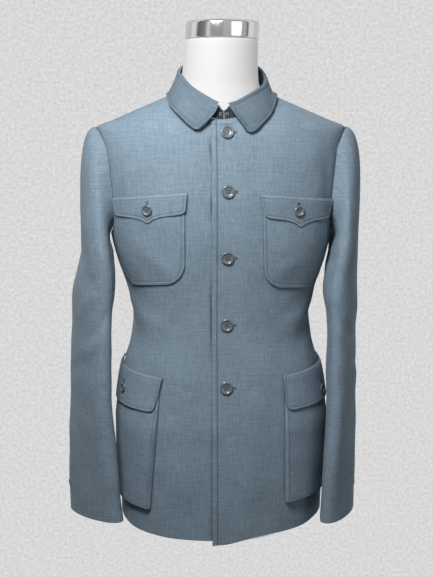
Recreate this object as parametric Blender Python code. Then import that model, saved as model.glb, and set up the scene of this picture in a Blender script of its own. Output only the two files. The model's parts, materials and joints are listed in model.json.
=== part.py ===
# Mao jacket standing on a limbless dress form.
# X runs to the viewer's right, the front faces -Y, Z is up, and the origin is the
# centre of the form's flat base. Left and right in the names are the wearer's.
# Tables and sizes are in millimetres, and meshes are in metres.
import math
from bisect import bisect_right

import bmesh
import bpy
from mathutils import Matrix, Vector

MM = 0.001
CLOTH = 2.0             # wall of every sewn piece
SEAM = 0.3              # gap between pieces at a seam
LAY = 0.95              # gap under a piece that lies on curved cloth
OVERLAP = 22.0          # the left front runs this far past the centre line
UNDERLAP = 20.0         # and the right front this far under it
LAP_LIFT = 1.5          # the fronts part by twice this where they lap
PLACKET = 26.0          # half width of the lapped strip
NECK_WIDTH = 86.0       # half width of the neckline at the shoulder seams
NECK_FRONT = 88.0
NECK_BACK = 75.0
NECK_DROP_Z = 740.0     # top edge of the fronts at the throat
SHOULDER_POINT_Z = 727.5
PIT_Z = 545.0
FORM_LEAN = math.radians(3.0)
PROUD = 5.5             # how far the lower pockets stand off the fronts

# Horizontal sections of the jacket's outer surface.
BODY_COLUMNS = ("z", "half_width", "front", "back", "exponent")
BODY = [
    (0, 181, 133, 113, 2.4),
    (100, 183.5, 131, 113, 2.4),
    (180, 186.5, 127.5, 112.5, 2.4),
    (214, 187, 126, 112, 2.4),
    (240, 185, 124, 110, 2.4),
    (277, 181, 121, 107, 2.4),
    (300, 177, 119, 104, 2.4),
    (328, 170, 116.5, 100, 2.4),
    (345, 164.5, 115, 97, 2.4),
    (370, 159.5, 113.5, 94, 2.4),
    (391, 157.5, 113, 92, 2.4),
    (412, 158, 113.5, 93, 2.4),
    (434, 162, 114.5, 95, 2.4),
    (453, 167, 115.5, 97, 2.4),
    (500, 183, 119, 103, 2.4),
    (545, 194, 121, 108, 2.4),
    (604, 201, 119.5, 112, 2.4),
    (647, 206, 114, 113, 2.4),
    (672, 209, 110, 112, 2.35),
    (690, 212, 106.5, 110, 2.25),
    (715, 216.5, 101, 106, 2.1),
    (727.5, 216, 96.5, 103, 2.05),
    (742, 184, 88, 98, 2.0),
    (755, 154, 77.5, 94, 2.0),
    (770, 119, 63, 88, 2.0),
    (782, 91, 50, 82, 2.0),
    (796, 58, 36, 73, 2.0),
    (806, 34, 28, 66, 2.0),
]

# Armhole seam round the sleeve, from the shoulder point down the front and up the back.
ARMHOLE_COLUMNS = ("angle", "y", "z")
ARMHOLE = [
    (0, 0, 727.5),
    (20, -27, 718),
    (45, -46, 690),
    (68, -53, 650),
    (90, -55, 608),
    (115, -50, 574),
    (138, -33, 552),
    (160, -8, 545.5),
    (180, 12, 545),
    (202, 35, 554),
    (225, 51, 578),
    (248, 56, 612),
    (270, 55, 650),
    (294, 49, 684),
    (338, 27, 718),
    (360, 0, 727.5),
]

# Distance of the side seam behind the side line.
SIDE_SEAM_COLUMNS = ("z", "behind")
SIDE_SEAM = [
    (0, 34),
    (300, 32),
    (400, 22),
    (545, 12),
]

# Rings of each sleeve below the arm pit. The turn takes the front edge inwards.
SLEEVE_COLUMNS = ("z", "x", "y", "half_long", "half_short", "turn")
SLEEVE_LEFT = [
    (50, 202, -78, 62, 22.5, 27),
    (102, 204, -73, 63.5, 22.5, 25),
    (186, 207, -65, 66.5, 23, 20),
    (260, 209.5, -55, 70, 23, 17),
    (300, 210, -49, 72, 25, 16),
    (340, 210.5, -43, 74, 24, 15),
    (372, 211, -38, 76, 23, 15),
    (405, 211.5, -33, 77, 25.5, 14),
    (444, 209, -27, 80, 29, 13),
    (477, 210.5, -20, 82, 28, 10),
    (510, 214.5, -14, 84, 25, 7),
]
SLEEVE_RIGHT = [
    (42, 226, -45, 62, 24, 45),
    (102, 229.5, -41, 64, 24, 40),
    (186, 231, -35, 66.5, 26, 33),
    (260, 232.5, -29, 70, 25, 25),
    (300, 232, -26, 72, 26, 24),
    (340, 231, -23, 74, 26, 23),
    (372, 230, -20, 76, 24.5, 22),
    (405, 229, -17, 77, 26, 21),
    (444, 225, -14, 80, 30, 18),
    (477, 220.5, -12, 82, 29, 14),
    (510, 217.5, -10, 84, 26, 9),
]

# Collar at angles round the neck from the throat to the nape: the roll at the top of the
# stand, and the lower edge of the fall.
COLLAR_COLUMNS = ("angle", "roll_x", "roll_y", "roll_z", "edge_x", "edge_y", "edge_z")
COLLAR = [
    (7, 9, -85, 768, 42, -101, 727),
    (10, 13, -84.5, 769, 47.5, -99.6, 721.8),
    (14, 19, -83.5, 771, 53, -97.8, 719.5),
    (26, 35, -77, 779, 67, -89, 732),
    (45, 54.5, -61, 789.5, 81, -68, 751),
    (67, 71, -33, 803, 90, -37, 768),
    (90, 79, 0, 815, 93, 0, 780),
    (120, 68.5, 37, 831, 84, 44, 786),
    (150, 41, 62, 840, 51, 77, 790),
    (180, 0, 70, 843, 0, 88, 791),
]

# Soft creases of the fronts, each a ridge (or trough) along a line on the cloth.
CREASE_COLUMNS = ("side", "s1", "z1", "s2", "z2", "half_width", "height")
CREASES = [
    (1, 205, 445, 95, 375, 30, 3.0),
    (1, 225, 425, 130, 350, 28, -2.5),
    (1, 60, 360, 45, 60, 36, 2.5),
    (-1, 210, 440, 110, 380, 30, 3.0),
    (-1, 228, 415, 150, 345, 28, -2.5),
    (-1, 75, 330, 80, 60, 38, 2.5),
]

# Height of the hem of each front, from the centre line (0) to the side (1).
HEM_COLUMNS = ("share", "z")
HEM_LEFT = [(-0.1, 12.5), (0.0, 14.0), (0.18, 24), (0.29, 28), (0.42, 30.5), (0.56, 33.5),
            (0.7, 40), (1.0, 47)]
HEM_RIGHT = [(-0.1, 20.5), (0.12, 20.7), (0.24, 21.6), (0.38, 22.8), (0.52, 25.5), (0.65, 28.5),
             (0.8, 34.5), (1.0, 41)]

# Patch pockets: inner edge from the centre line at the top and at the bottom, the top
# line and its rise towards the side, width, height, corner radii and how proud it stands.
POCKET_COLUMNS = ("name", "side", "inner_top", "inner_low", "top_z", "rise", "width",
                  "height", "inner_corner", "outer_corner", "proud")
POCKETS = [
    ("chest_pocket_left", 1, 62, 66, 613, -0.085, 131, 150, 32, 40, 0.0),
    ("chest_pocket_right", -1, 67, 67, 616, -0.085, 131, 150, 32, 40, 0.0),
    ("lower_pocket_left", 1, 104, 106, 300, 0.09, 150, 219, 4, 4, PROUD),
    ("lower_pocket_right", -1, 110, 132, 299, 0.09, 143, 230, 4, 4, PROUD),
]

# Flaps: as for the pockets, with how far the sides draw in towards the lower edge.
FLAP_COLUMNS = ("name", "side", "inner", "top_z", "rise", "width", "draw_in", "kind")
FLAPS = [
    ("chest_flap_left", 1, 57, 620, -0.085, 147, 8, "point"),
    ("chest_flap_right", -1, 62, 623, -0.085, 140, 3, "point"),
    ("lower_flap_left", 1, 100, 308, 0.09, 158, 5, "straight"),
    ("lower_flap_right", -1, 106, 306, 0.09, 158, 13, "straight"),
]
# Depth of a pointed chest flap along its width, and of a straight flap with round corners.
FLAP_DEPTH_COLUMNS = ("across", "depth")
POINT_FLAP = [(0.0, 33), (0.05, 37), (0.3, 40), (0.42, 43.5), (0.5, 49), (0.58, 43.5),
              (0.7, 38), (0.95, 33), (1.0, 29)]
STRAIGHT_FLAP = [(0.0, 50), (0.04, 60), (0.1, 63), (0.5, 64), (0.9, 63), (0.96, 60), (1.0, 50)]

# Buttons: name, side, distance from the centre line, height, radius and what it lies on.
BUTTON_COLUMNS = ("name", "side", "s", "z", "radius", "under")
BUTTONS = [
    ("front_button_1", 1, 4.5, 720.5, 11.2, "front"),
    ("front_button_2", 1, 5.0, 623.5, 11.2, "front"),
    ("front_button_3", 1, 4.0, 513.5, 11.2, "front"),
    ("front_button_4", 1, 3.0, 398.0, 11.2, "front"),
    ("front_button_5", 1, 2.0, 290.0, 11.2, "front"),
    ("chest_button_left", 1, 124.5, 590, 9.2, "flap"),
    ("chest_button_right", -1, 129.5, 592.5, 9.2, "flap"),
    ("lower_button_left", 1, 190, 271, 7.8, "lower_flap"),
    ("lower_button_right", -1, 190, 277, 7.8, "lower_flap"),
]
# Half profile of a button: a raised rim round a dished middle.
BUTTON_PROFILE_COLUMNS = ("radius_share", "height")
BUTTON_PROFILE = [(0.0, 1.9), (0.6, 2.0), (0.74, 3.1), (0.92, 3.0), (1.0, 1.8), (0.9, 0.0)]

# Rings of the form's torso.
FORM_COLUMNS = ("z", "half_width", "front", "back", "exponent")
FORM = [
    (0, 112, 84, 84, 2.2),
    (8, 119, 90, 90, 2.2),
    (22, 134, 98, 96, 2.2),
    (45, 150, 106, 101, 2.2),
    (90, 161, 112, 104, 2.2),
    (170, 166, 113, 104, 2.2),
    (250, 160, 110, 101, 2.2),
    (330, 146, 105, 92, 2.2),
    (395, 137, 101, 84, 2.2),
    (460, 148, 104, 88, 2.2),
    (530, 168, 109, 96, 2.2),
    (600, 183, 110, 102, 2.25),
    (650, 192, 106, 105, 2.3),
]
NECK_TOP_Z = 877.0
NECK_COLUMNS = ("z", "half_width", "front", "back")
NECK = [
    (690, 60, 78, 60),
    (744, 74, 78, 66),
    (764, 78, 73.5, 67),
    (783, 75, 68.5, 66),
    (806, 67.5, 65, 61.5),
    (835, 64.5, 63.5, 61),
    (877, 62.5, 62, 61),
]
CAP_PROFILE_COLUMNS = ("radius", "height")
CAP_PROFILE = [(61.5, 0.0), (63.5, 0.8), (63.8, 3.0), (63.8, 25.5), (62.6, 28.6), (59.0, 30.2),
               (30.0, 30.8), (0.0, 31.0)]


def smooth(table, at, column=1):
    """Value of a column at a place, on a curve that never overshoots its rows."""
    keys = [row[0] for row in table]
    at = min(max(at, keys[0]), keys[-1])
    i = min(bisect_right(keys, at) - 1, len(keys) - 2)

    def slope(k):
        return (table[k + 1][column] - table[k][column]) / (keys[k + 1] - keys[k])

    def tangent(k):
        if k == 0:
            return slope(0)
        if k == len(keys) - 1:
            return slope(k - 1)
        before = slope(k - 1)
        after = slope(k)
        if before * after <= 0:
            return 0.0
        return 2.0 * before * after / (before + after)

    span = keys[i + 1] - keys[i]
    t = (at - keys[i]) / span
    return ((2 * t ** 3 - 3 * t ** 2 + 1) * table[i][column]
            + (t ** 3 - 2 * t ** 2 + t) * span * tangent(i)
            + (3 * t ** 2 - 2 * t ** 3) * table[i + 1][column]
            + (t ** 3 - t ** 2) * span * tangent(i + 1))


def ease(value, start, end):
    """0 before start, 1 after end, smooth between."""
    t = min(max((value - start) / (end - start), 0.0), 1.0)
    return t * t * (3 - 2 * t)


SECTION_STEPS = 96
SETTLE_TURNS = 6
section_cache = {}


def section(z):
    """Section sizes at a height, with arc lengths from the centre line to the side."""
    key = round(z, 3)
    if key not in section_cache:
        width, front, back, power = (smooth(BODY, z, c) for c in (1, 2, 3, 4))
        lengths = []
        for depth in (front, back):
            total = [0.0]
            last = (0.0, depth)
            for i in range(1, SECTION_STEPS + 1):
                angle = 0.5 * math.pi * i / SECTION_STEPS
                here = (width * math.sin(angle) ** (2 / power),
                        depth * max(math.cos(angle), 0.0) ** (2 / power))
                total.append(total[-1] + math.dist(last, here))
                last = here
            lengths.append(total)
        section_cache[key] = (width, front, back, power, lengths)
    return section_cache[key]


def front_length(z):
    return section(z)[4][0][-1]


def back_length(z):
    return section(z)[4][1][-1]


def chart(q, z):
    """Point of the body: q runs 0 at the centre front, 1 at the side, 2 at the centre back."""
    width, front, back, power, lengths = section(z)
    sign = -1.0 if q < 0 else 1.0
    q = abs(q)
    if q > 2:
        q = 4 - q
        sign = -sign
    total = lengths[0] if q <= 1 else lengths[1]
    share = q if q <= 1 else 2 - q
    target = share * total[-1]
    i = min(bisect_right(total, target) - 1, SECTION_STEPS - 1)
    step = (target - total[i]) / (total[i + 1] - total[i])
    angle = 0.5 * math.pi * (i + step) / SECTION_STEPS
    x = sign * width * math.sin(angle) ** (2 / power)
    reach = max(math.cos(angle), 0.0) ** (2 / power)
    y = -front * reach if q <= 1 else back * reach
    return Vector((x, y, z))


def chart_of_depth(y, z):
    """q of the point of the body at a height that lies at depth y."""
    width, front, back, power, lengths = section(z)
    depth = front if y <= 0 else back
    angle = math.acos(min((abs(y) / depth) ** (power / 2), 1.0))
    total = lengths[0] if y <= 0 else lengths[1]
    place = angle / (0.5 * math.pi) * SECTION_STEPS
    i = min(int(place), SECTION_STEPS - 1)
    share = (total[i] + (total[i + 1] - total[i]) * (place - i)) / total[-1]
    return share if y <= 0 else 2 - share


def crease_height(q, z):
    """Height of the soft creases at a point of the fronts."""
    side = -1 if q < 0 else 1
    s = abs(q) * front_length(z)
    height = 0.0
    for row_side, s1, z1, s2, z2, half_width, row_height in CREASES:
        if row_side != side:
            continue
        along = Vector((s2 - s1, z2 - z1))
        place = Vector((s - s1, z - z1))
        t = min(max(place.dot(along) / along.length_squared, 0.0), 1.0)
        away = (place - along * t).length
        height += row_height * (1 - ease(away, 0, half_width)) * (1 - abs(2 * t - 1) ** 3)
    return height


def normal_of(q, z):
    """Outward direction of the body's surface."""
    dq = 0.004
    dz = 0.6
    across = chart(q + dq, z) - chart(q - dq, z)
    up = chart(q, z + dz) - chart(q, z - dz)
    direction = across.cross(up)
    direction.normalize()
    return direction


def cloth(q, z, out=0.0):
    """Point on the worn cloth, moved out along its normal."""
    lift = crease_height(q, z) if abs(q) < 1.1 else 0.0
    return chart(q, z) + normal_of(q, z) * (out + lift)


def implicit(point):
    """Below zero inside the body, above zero outside."""
    width, front, back, power, _ = section(point.z)
    depth = front if point.y <= 0 else back
    return (abs(point.x / width) ** power + abs(point.y / depth) ** power) ** (1 / power) - 1


def distance_out(point):
    """Distance of a point from the body, below zero inside, and the direction out."""
    step = 0.5
    slope = Vector([
        (implicit(point + axis * step) - implicit(point - axis * step)) / (2 * step)
        for axis in (Vector((1, 0, 0)), Vector((0, 1, 0)), Vector((0, 0, 1)))
    ])
    return implicit(point) / slope.length, slope.normalized()


def push_out(point, gap):
    """Moves a point out until it is this far from the body."""
    for _ in range(SETTLE_TURNS):
        distance, direction = distance_out(point)
        if distance >= gap:
            break
        point = point + direction * (gap - distance)
    return point


def keep_inside(point, depth):
    """Moves a point in until it is this far under the body's surface."""
    for _ in range(SETTLE_TURNS):
        distance, direction = distance_out(point)
        if distance <= -depth:
            break
        point = point - direction * (distance + depth)
    return point


def neckline(angle):
    """Chart point of the neckline, from the throat (0) over the seam (90) to the nape (180)."""
    turn = math.radians(angle)
    x = NECK_WIDTH * math.sin(turn)
    y = -NECK_FRONT * math.cos(turn) if angle <= 90 else -NECK_BACK * math.cos(turn)
    low = NECK_DROP_Z
    high = BODY[-1][0]
    for _ in range(40):
        middle = 0.5 * (low + high)
        if implicit(Vector((x, y, middle))) < 0:
            low = middle
        else:
            high = middle
    z = 0.5 * (low + high)
    if angle in (0, 180):
        return (0.0 if angle == 0 else 2.0, z)
    return (chart_of_depth(y, z), z)


def side_seam(z):
    return 1 + smooth(SIDE_SEAM, z) / back_length(z)


def armhole(angle):
    y = smooth(ARMHOLE, angle, 1)
    z = smooth(ARMHOLE, angle, 2)
    return (chart_of_depth(y, z), z)


def material(name, colour, roughness, metallic=0.0):
    made = bpy.data.materials.get(name)
    if made is None:
        made = bpy.data.materials.new(name)
        made.use_nodes = True
        shader = made.node_tree.nodes["Principled BSDF"]
        shader.inputs["Base Color"].default_value = (*colour, 1.0)
        shader.inputs["Roughness"].default_value = roughness
        shader.inputs["Metallic"].default_value = metallic
    return made


def wool():
    return material("wool", (0.105, 0.155, 0.205), 0.85)


def button_plastic():
    return material("button_plastic", (0.10, 0.13, 0.16), 0.3)


def form_cover():
    return material("form_cover", (0.78, 0.78, 0.76), 0.6)


def chrome():
    return material("chrome", (0.72, 0.72, 0.73), 0.12, 1.0)


def hook_metal():
    return material("hook_metal", (0.55, 0.56, 0.58), 0.35, 1.0)


def finish(name, bm, finish_material, crease_angle=math.radians(40)):
    """Makes a named object of a bmesh in millimetres."""
    bmesh.ops.recalc_face_normals(bm, faces=bm.faces)
    bmesh.ops.scale(bm, vec=(MM, MM, MM), verts=bm.verts)
    mesh = bpy.data.meshes.new(name)
    bm.to_mesh(mesh)
    bm.free()
    mesh.shade_smooth()
    mesh.set_sharp_from_angle(angle=crease_angle)
    made = bpy.data.objects.new(name, mesh)
    made.data.materials.append(finish_material)
    bpy.context.scene.collection.objects.link(made)
    return made


def wall(name, outer, inner):
    """A closed wall between two grids of points."""
    bm = bmesh.new()
    rows = len(outer)
    columns = len(outer[0])
    skins = [[[bm.verts.new(p) for p in line] for line in grid] for grid in (outer, inner)]
    for skin in skins:
        for r in range(rows - 1):
            for c in range(columns - 1):
                bm.faces.new((skin[r][c], skin[r][c + 1], skin[r + 1][c + 1], skin[r + 1][c]))
    rim = [(0, c) for c in range(columns)]
    rim += [(r, columns - 1) for r in range(1, rows)]
    rim += [(rows - 1, c) for c in range(columns - 2, -1, -1)]
    rim += [(r, 0) for r in range(rows - 2, 0, -1)]
    for (r1, c1), (r2, c2) in zip(rim, rim[1:] + rim[:1]):
        bm.faces.new((skins[0][r1][c1], skins[0][r2][c2], skins[1][r2][c2], skins[1][r1][c1]))
    return finish(name, bm, wool())


def skin_of_rings(name, rings, finish_material):
    """A closed solid through rings of points, with both ends capped."""
    bm = bmesh.new()
    loops = [[bm.verts.new(p) for p in ring] for ring in rings]
    count = len(loops[0])
    for below, above in zip(loops, loops[1:]):
        for i in range(count):
            j = (i + 1) % count
            bm.faces.new((below[i], below[j], above[j], above[i]))
    bm.faces.new(list(reversed(loops[0])))
    bm.faces.new(loops[-1])
    return finish(name, bm, finish_material)


def offset_grid(grid, normals, distance):
    return [[p + n * distance for p, n in zip(line, normal_line)]
            for line, normal_line in zip(grid, normals)]


# Fronts and back

BODY_ROWS = (72, 125, 180, 232, 275, 305, 332, 358, 385, 412, 440, 472, 508)
RING_TOP_ANGLES = [-115 + 230 * i / 12 for i in range(13)]
RING_UNDER_ANGLES = [115 + 130 * i / 8 for i in range(9)]
# Rows of the panels above the pit end where the columns of the sleeves begin.
ARMHOLE_ANGLES = [a for a in RING_TOP_ANGLES if a >= 0] + RING_UNDER_ANGLES[1:5]
UPPER_ROWS = len(ARMHOLE_ANGLES) - 1
NECK_ANGLES_FRONT = (0, 13, 27, 43, 59, 75, 90)
NECK_ANGLES_BACK = (90, 112, 135, 158, 180)
SHOULDER_SHARES = (0.0, 0.2, 0.42, 0.64, 0.85, 1.0)
SHOULDER_CROWDING = 1.6     # rows of the panels lie closer together towards the shoulder
HEM_Z = 30.0
BACK_HEM_Z = 25.0
PIT_DIP = 14.0              # the row under the arm pit dips by this much towards the front
LAP_FADE = 34.0             # the lap's lift fades out over this width past the placket


def hem_z(q, side):
    """Height of the hem, which rises towards the sides."""
    return smooth(HEM_LEFT if side > 0 else HEM_RIGHT, q)


def back_hem_z(q):
    """Hem of the back, level with both fronts at the side seams."""
    side = 1 if q < 2 else -1
    reach = abs(2 - q)
    return BACK_HEM_Z + (hem_z(1.0, side) - BACK_HEM_Z) * min(reach, 1.0) ** 2


def lap_lift(s, side):
    """The left front rises over the lap, and the right front sinks under it."""
    return side * LAP_LIFT * (1 - ease(abs(s), PLACKET, PLACKET + LAP_FADE))


def shoulder_seam():
    """Chart points of the shoulder seam, from the neck to the shoulder point."""
    neck_z = neckline(90)[1]
    return [(1.0, neck_z + (SHOULDER_POINT_Z - neck_z) * share) for share in SHOULDER_SHARES]


def patch(bottom, top, left, right):
    """Rows of chart points between four edges, from just above the bottom to the top."""
    rows = []
    last_row = len(left) - 1
    last_column = len(bottom) - 1
    for r in range(1, last_row + 1):
        v = r / last_row
        line = []
        for c in range(last_column + 1):
            u = c / last_column
            point = []
            for k in (0, 1):
                ends = (1 - v) * bottom[c][k] + v * top[c][k]
                sides = (1 - u) * left[r][k] + u * right[r][k]
                corners = ((1 - u) * (1 - v) * bottom[0][k] + u * (1 - v) * bottom[-1][k]
                           + (1 - u) * v * top[0][k] + u * v * top[-1][k])
                point.append(ends + sides - corners)
            line.append(tuple(point))
        rows.append(line)
    return rows


def upper_shares():
    """Shares up the chest, closer together towards the shoulder."""
    return [1 - (1 - i / UPPER_ROWS) ** SHOULDER_CROWDING for i in range(UPPER_ROWS + 1)]


def spread(start, end, count, length, seams):
    """Evenly spaced q from start to end, less half a seam gap at the sewn ends."""
    start += seams[0] * 0.5 * SEAM / length
    end -= seams[1] * 0.5 * SEAM / length
    return [start + (end - start) * i / (count - 1) for i in range(count)]


def front(name, side):
    past = OVERLAP if side > 0 else UNDERLAP
    neck = [neckline(a) for a in NECK_ANGLES_FRONT]
    top = [(-past / front_length(NECK_DROP_Z), NECK_DROP_Z)] + neck[:-1] + shoulder_seam()
    count = len(top)
    rows = []
    line = spread(-past / front_length(HEM_Z), side_seam(HEM_Z), count, front_length(HEM_Z), (0, 1))
    rows.append([(q, hem_z(q, side)) for q in line])
    for z in BODY_ROWS:
        line = spread(-past / front_length(z), side_seam(z), count, front_length(z), (0, 1))
        rows.append([(q, z) for q in line])
    line = spread(-past / front_length(PIT_Z), side_seam(PIT_Z), count, front_length(PIT_Z), (0, 1))
    heights = [PIT_Z - PIT_DIP * (1 - (c / (count - 1)) ** 6) for c in range(count)]
    rows.append(list(zip(line, heights)))
    left = []
    right = []
    for share, angle in zip(upper_shares(), reversed(ARMHOLE_ANGLES)):
        z = heights[0] + (NECK_DROP_Z - heights[0]) * share
        left.append((-past / front_length(z), z))
        right.append(armhole(angle))
    rows += patch(rows[-1], top, left, right)
    outer = []
    inner = []
    for line in rows:
        lifts = [lap_lift(q * front_length(z), side) for q, z in line]
        outer.append([cloth(side * q, z, lift) for (q, z), lift in zip(line, lifts)])
        inner.append([cloth(side * q, z, lift - CLOTH) for (q, z), lift in zip(line, lifts)])
    open_seam(outer, inner, range(len(neck), count))
    return wall(name, outer, inner)


def open_seam(outer, inner, columns):
    """Opens half a seam gap along the shoulder seam, in the last row of a panel."""
    for grid in (outer, inner):
        for c in columns:
            point = grid[-1][c]
            inward = (grid[-2][c] - point).normalized()
            grid[-1][c] = point + inward * 0.5 * SEAM


def back():
    shoulder = list(reversed(shoulder_seam()))
    neck = [neckline(a) for a in NECK_ANGLES_BACK]
    top = shoulder + neck[1:]
    half = len(top)
    rows = []
    line = spread(side_seam(HEM_Z), 2.0, half, back_length(HEM_Z), (1, 0))
    rows.append([(q, back_hem_z(q)) for q in line])
    for z in BODY_ROWS + (PIT_Z,):
        line = spread(side_seam(z), 2.0, half, back_length(z), (1, 0))
        rows.append([(q, z) for q in line])
    left = []
    right = []
    for share, angle in zip(upper_shares(), reversed(ARMHOLE_ANGLES)):
        left.append(armhole(360 - angle))
        right.append((2.0, PIT_Z + (neck[-1][1] - PIT_Z) * share))
    rows += patch(rows[-1], top, left, right)
    outer = []
    inner = []
    for r, line in enumerate(rows):
        other = [(4 - q, z) for q, z in reversed(line[:-1])]
        if r == 0:
            other = [(q, back_hem_z(q)) for q, _ in other]
        outer.append([cloth(q, z) for q, z in line + other])
        inner.append([cloth(q, z, -CLOTH) for q, z in line + other])
    seam_columns = list(range(len(shoulder)))
    seam_columns += [2 * half - 2 - c for c in seam_columns]
    open_seam(outer, inner, seam_columns)
    return wall("back", outer, inner)


# Sleeves

SLEEVE_SEAM_ANGLE = 0.26
BLEND_ROWS = 6
HEAD_CROWDING = 1.35            # rows of the sleeve head lie closer together at its seam
HEAD_LEAVES_TOP = (112, 12)     # how the sleeve leaves its seam, out and up, at the top
HEAD_LEAVES_PIT = (22, -25)     # and at the arm pit
HEAD_LEAVES_SIDE = -52          # forwards and backwards, at the front and back edges
HEAD_ARRIVAL = 1.05


def ring_point(table, z, angle):
    """Point of a sleeve's ring: 0 outside, 90 at the front edge, 180 next to the body."""
    x, y, half_long, half_short, turn = (smooth(table, z, c) for c in range(1, 6))
    a = math.radians(angle)
    t = math.radians(turn)
    out = half_short * math.cos(a)
    forward = half_long * math.sin(a)
    return Vector((x + out * math.cos(t) - forward * math.sin(t),
                   y - out * math.sin(t) - forward * math.cos(t), z))


def sleeve_head_point(table, angle, share):
    """Point between the armhole seam (0) and the first ring (1)."""
    q, z = armhole(angle % 360)
    seam = chart(q, z)
    normal = normal_of(q, z)
    ahead = chart(*armhole((angle + 4) % 360))
    behind = chart(*armhole((angle - 4) % 360))
    outward = normal.cross(ahead - behind).normalized()
    low = 0.5 - 0.5 * math.cos(math.radians(angle))
    start = seam + outward * 0.5 + normal * (0.15 + 0.75 * low)
    end = ring_point(table, table[-1][0], angle)
    forward = math.sin(math.radians(angle))
    out, up = (a * (1 - low) + b * low for a, b in zip(HEAD_LEAVES_TOP, HEAD_LEAVES_PIT))
    leave = Vector((out, HEAD_LEAVES_SIDE * forward, up))
    arrive = Vector((0, 0, -(start - end).length * HEAD_ARRIVAL))
    t = share
    return ((2 * t ** 3 - 3 * t ** 2 + 1) * start + (t ** 3 - 2 * t ** 2 + t) * leave
            + (3 * t ** 2 - 2 * t ** 3) * end + (t ** 3 - t ** 2) * arrive)


def sleeve_grid(table, angles):
    rows = []
    for i in range(BLEND_ROWS):
        share = (i / BLEND_ROWS) ** HEAD_CROWDING
        rows.append([sleeve_head_point(table, a, share) for a in angles])
    heights = [row[0] for row in reversed(table)]
    for z in heights:
        rows.append([ring_point(table, z, a) for a in angles])
    return rows


def sleeve_normals(table, angles, grid):
    """Normals of a sleeve's grid, out of the arm, alike on both sides of a seam."""
    ahead = sleeve_grid(table, [a + 3 for a in angles])
    behind = sleeve_grid(table, [a - 3 for a in angles])
    normals = []
    last = len(grid) - 1
    for r, line in enumerate(grid):
        normal_line = []
        for c in range(len(line)):
            down = grid[min(r + 1, last)][c] - grid[max(r - 1, 0)][c]
            across = ahead[r][c] - behind[r][c]
            normal_line.append(across.cross(down).normalized())
        normals.append(normal_line)
    return normals


def sleeve(name, table, side, angles):
    start = angles[0] + SLEEVE_SEAM_ANGLE
    end = angles[-1] - SLEEVE_SEAM_ANGLE
    columns = [start] + list(angles[1:-1]) + [end]
    outer = sleeve_grid(table, columns)
    inner = offset_grid(outer, sleeve_normals(table, columns, outer), -CLOTH)
    if side < 0:
        outer = [[Vector((-p.x, p.y, p.z)) for p in line] for line in outer]
        inner = [[Vector((-p.x, p.y, p.z)) for p in line] for line in inner]
    return wall(name, outer, inner)


# Collar

STAND_ANGLES = (0.35, 5, 8.5, 13, 27, 43, 59, 75, 90, 112, 135, 158, 180)
FALL_ANGLES = (7, 10, 14, 20, 30, 43, 59, 75, 90, 112, 135, 158, 180)
STAND_INSIDE_ROLL = 3.9
STAND_BELOW_ROLL = 3.0
THROAT_TOP_Z = 757.0
STAND_HOLLOW = 2.0          # the stand is hollow by this much half way up
STAND_ABOVE_SEAM = 1.0


def both_sides(angles):
    return [a for a in angles] + [360 - a for a in reversed(angles[:-1])]


def mirrored_point(angle, point_of):
    if angle <= 180:
        return point_of(angle)
    point = point_of(360 - angle)
    return Vector((-point.x, point.y, point.z))


def roll_point(angle):
    """Top of the collar's roll."""
    low = max(angle, COLLAR[0][0])
    point = Vector([smooth(COLLAR, low, c) for c in (1, 2, 3)])
    if angle < COLLAR[0][0]:
        share = angle / COLLAR[0][0]
        point.x *= share
        point.z = THROAT_TOP_Z + (point.z - THROAT_TOP_Z) * share ** 1.5
        point.y = point.y - 0.6 * (1 - share)
    return point


def away_from_neck(angle):
    turn = math.radians(angle)
    return Vector((math.sin(turn), -math.cos(turn), 0))


def stand_base(angle):
    q, z = neckline(angle)
    seam = chart(q, z)
    return Vector((seam.x, seam.y, max(seam.z, NECK_DROP_Z) + STAND_ABOVE_SEAM))


def stand_top(angle):
    below = STAND_BELOW_ROLL * min(angle / COLLAR[0][0], 1.0)
    return roll_point(angle) - away_from_neck(angle) * STAND_INSIDE_ROLL - Vector((0, 0, below))


def stand_point(angle, share):
    """Outer point of the stand, from its seam (0) to its top (1)."""
    low = mirrored_point(angle, stand_base)
    high = mirrored_point(angle, stand_top)
    hollow = STAND_HOLLOW * (1 - abs(2 * share - 1))
    return low + (high - low) * share - away_from_neck(angle) * hollow


def collar_stand():
    outer = []
    inner = []
    for share in (0.0, 0.5, 1.0):
        line = [stand_point(angle, share) for angle in both_sides(STAND_ANGLES)]
        outer.append(line)
        inner.append([p - away_from_neck(angle) * CLOTH
                      for p, angle in zip(line, both_sides(STAND_ANGLES))])
    return wall("collar_stand", outer, inner)


ROLL_COLUMNS = ("out", "up")
ROLL = [(-4.6, -0.9), (-2.6, 0.1), (-0.8, -1.4), (0.0, -5.0)]
FALL_ROWS = 5
FALL_FULLNESS = 4.0         # the fall bulges by this much half way down at the front
FALL_SIDE_FULLNESS = -1.0   # and hollows at the sides and the back
FULLNESS_FADE = (30, 75)    # where, round the neck, the one turns into the other
FALL_CLEAR = 4.6            # and stays this far out from the fronts and the back


def collar_fall():
    rows = len(ROLL) + FALL_ROWS
    outer = [[] for _ in range(rows)]
    for angle in both_sides(FALL_ANGLES):
        for r in range(rows):
            outer[r].append(mirrored_point(angle, lambda a, r=r: fall_point(a, r)))
    inner = offset_grid(outer, fall_normals(outer), CLOTH)
    return wall("collar_fall", outer, inner)


def fall_normals(grid):
    """Directions towards the neck, steady also where the leaf ends in its point."""
    last = len(grid) - 1
    normals = []
    for r in range(len(grid)):
        line = []
        for c, angle in enumerate(both_sides(FALL_ANGLES)):
            turn = math.radians(angle)
            around = Vector((math.cos(turn), math.sin(turn), 0))
            down = grid[min(r + 1, last)][c] - grid[max(r - 1, 0)][c]
            line.append(around.cross(down).normalized())
        normals.append(line)
    return normals


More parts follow.
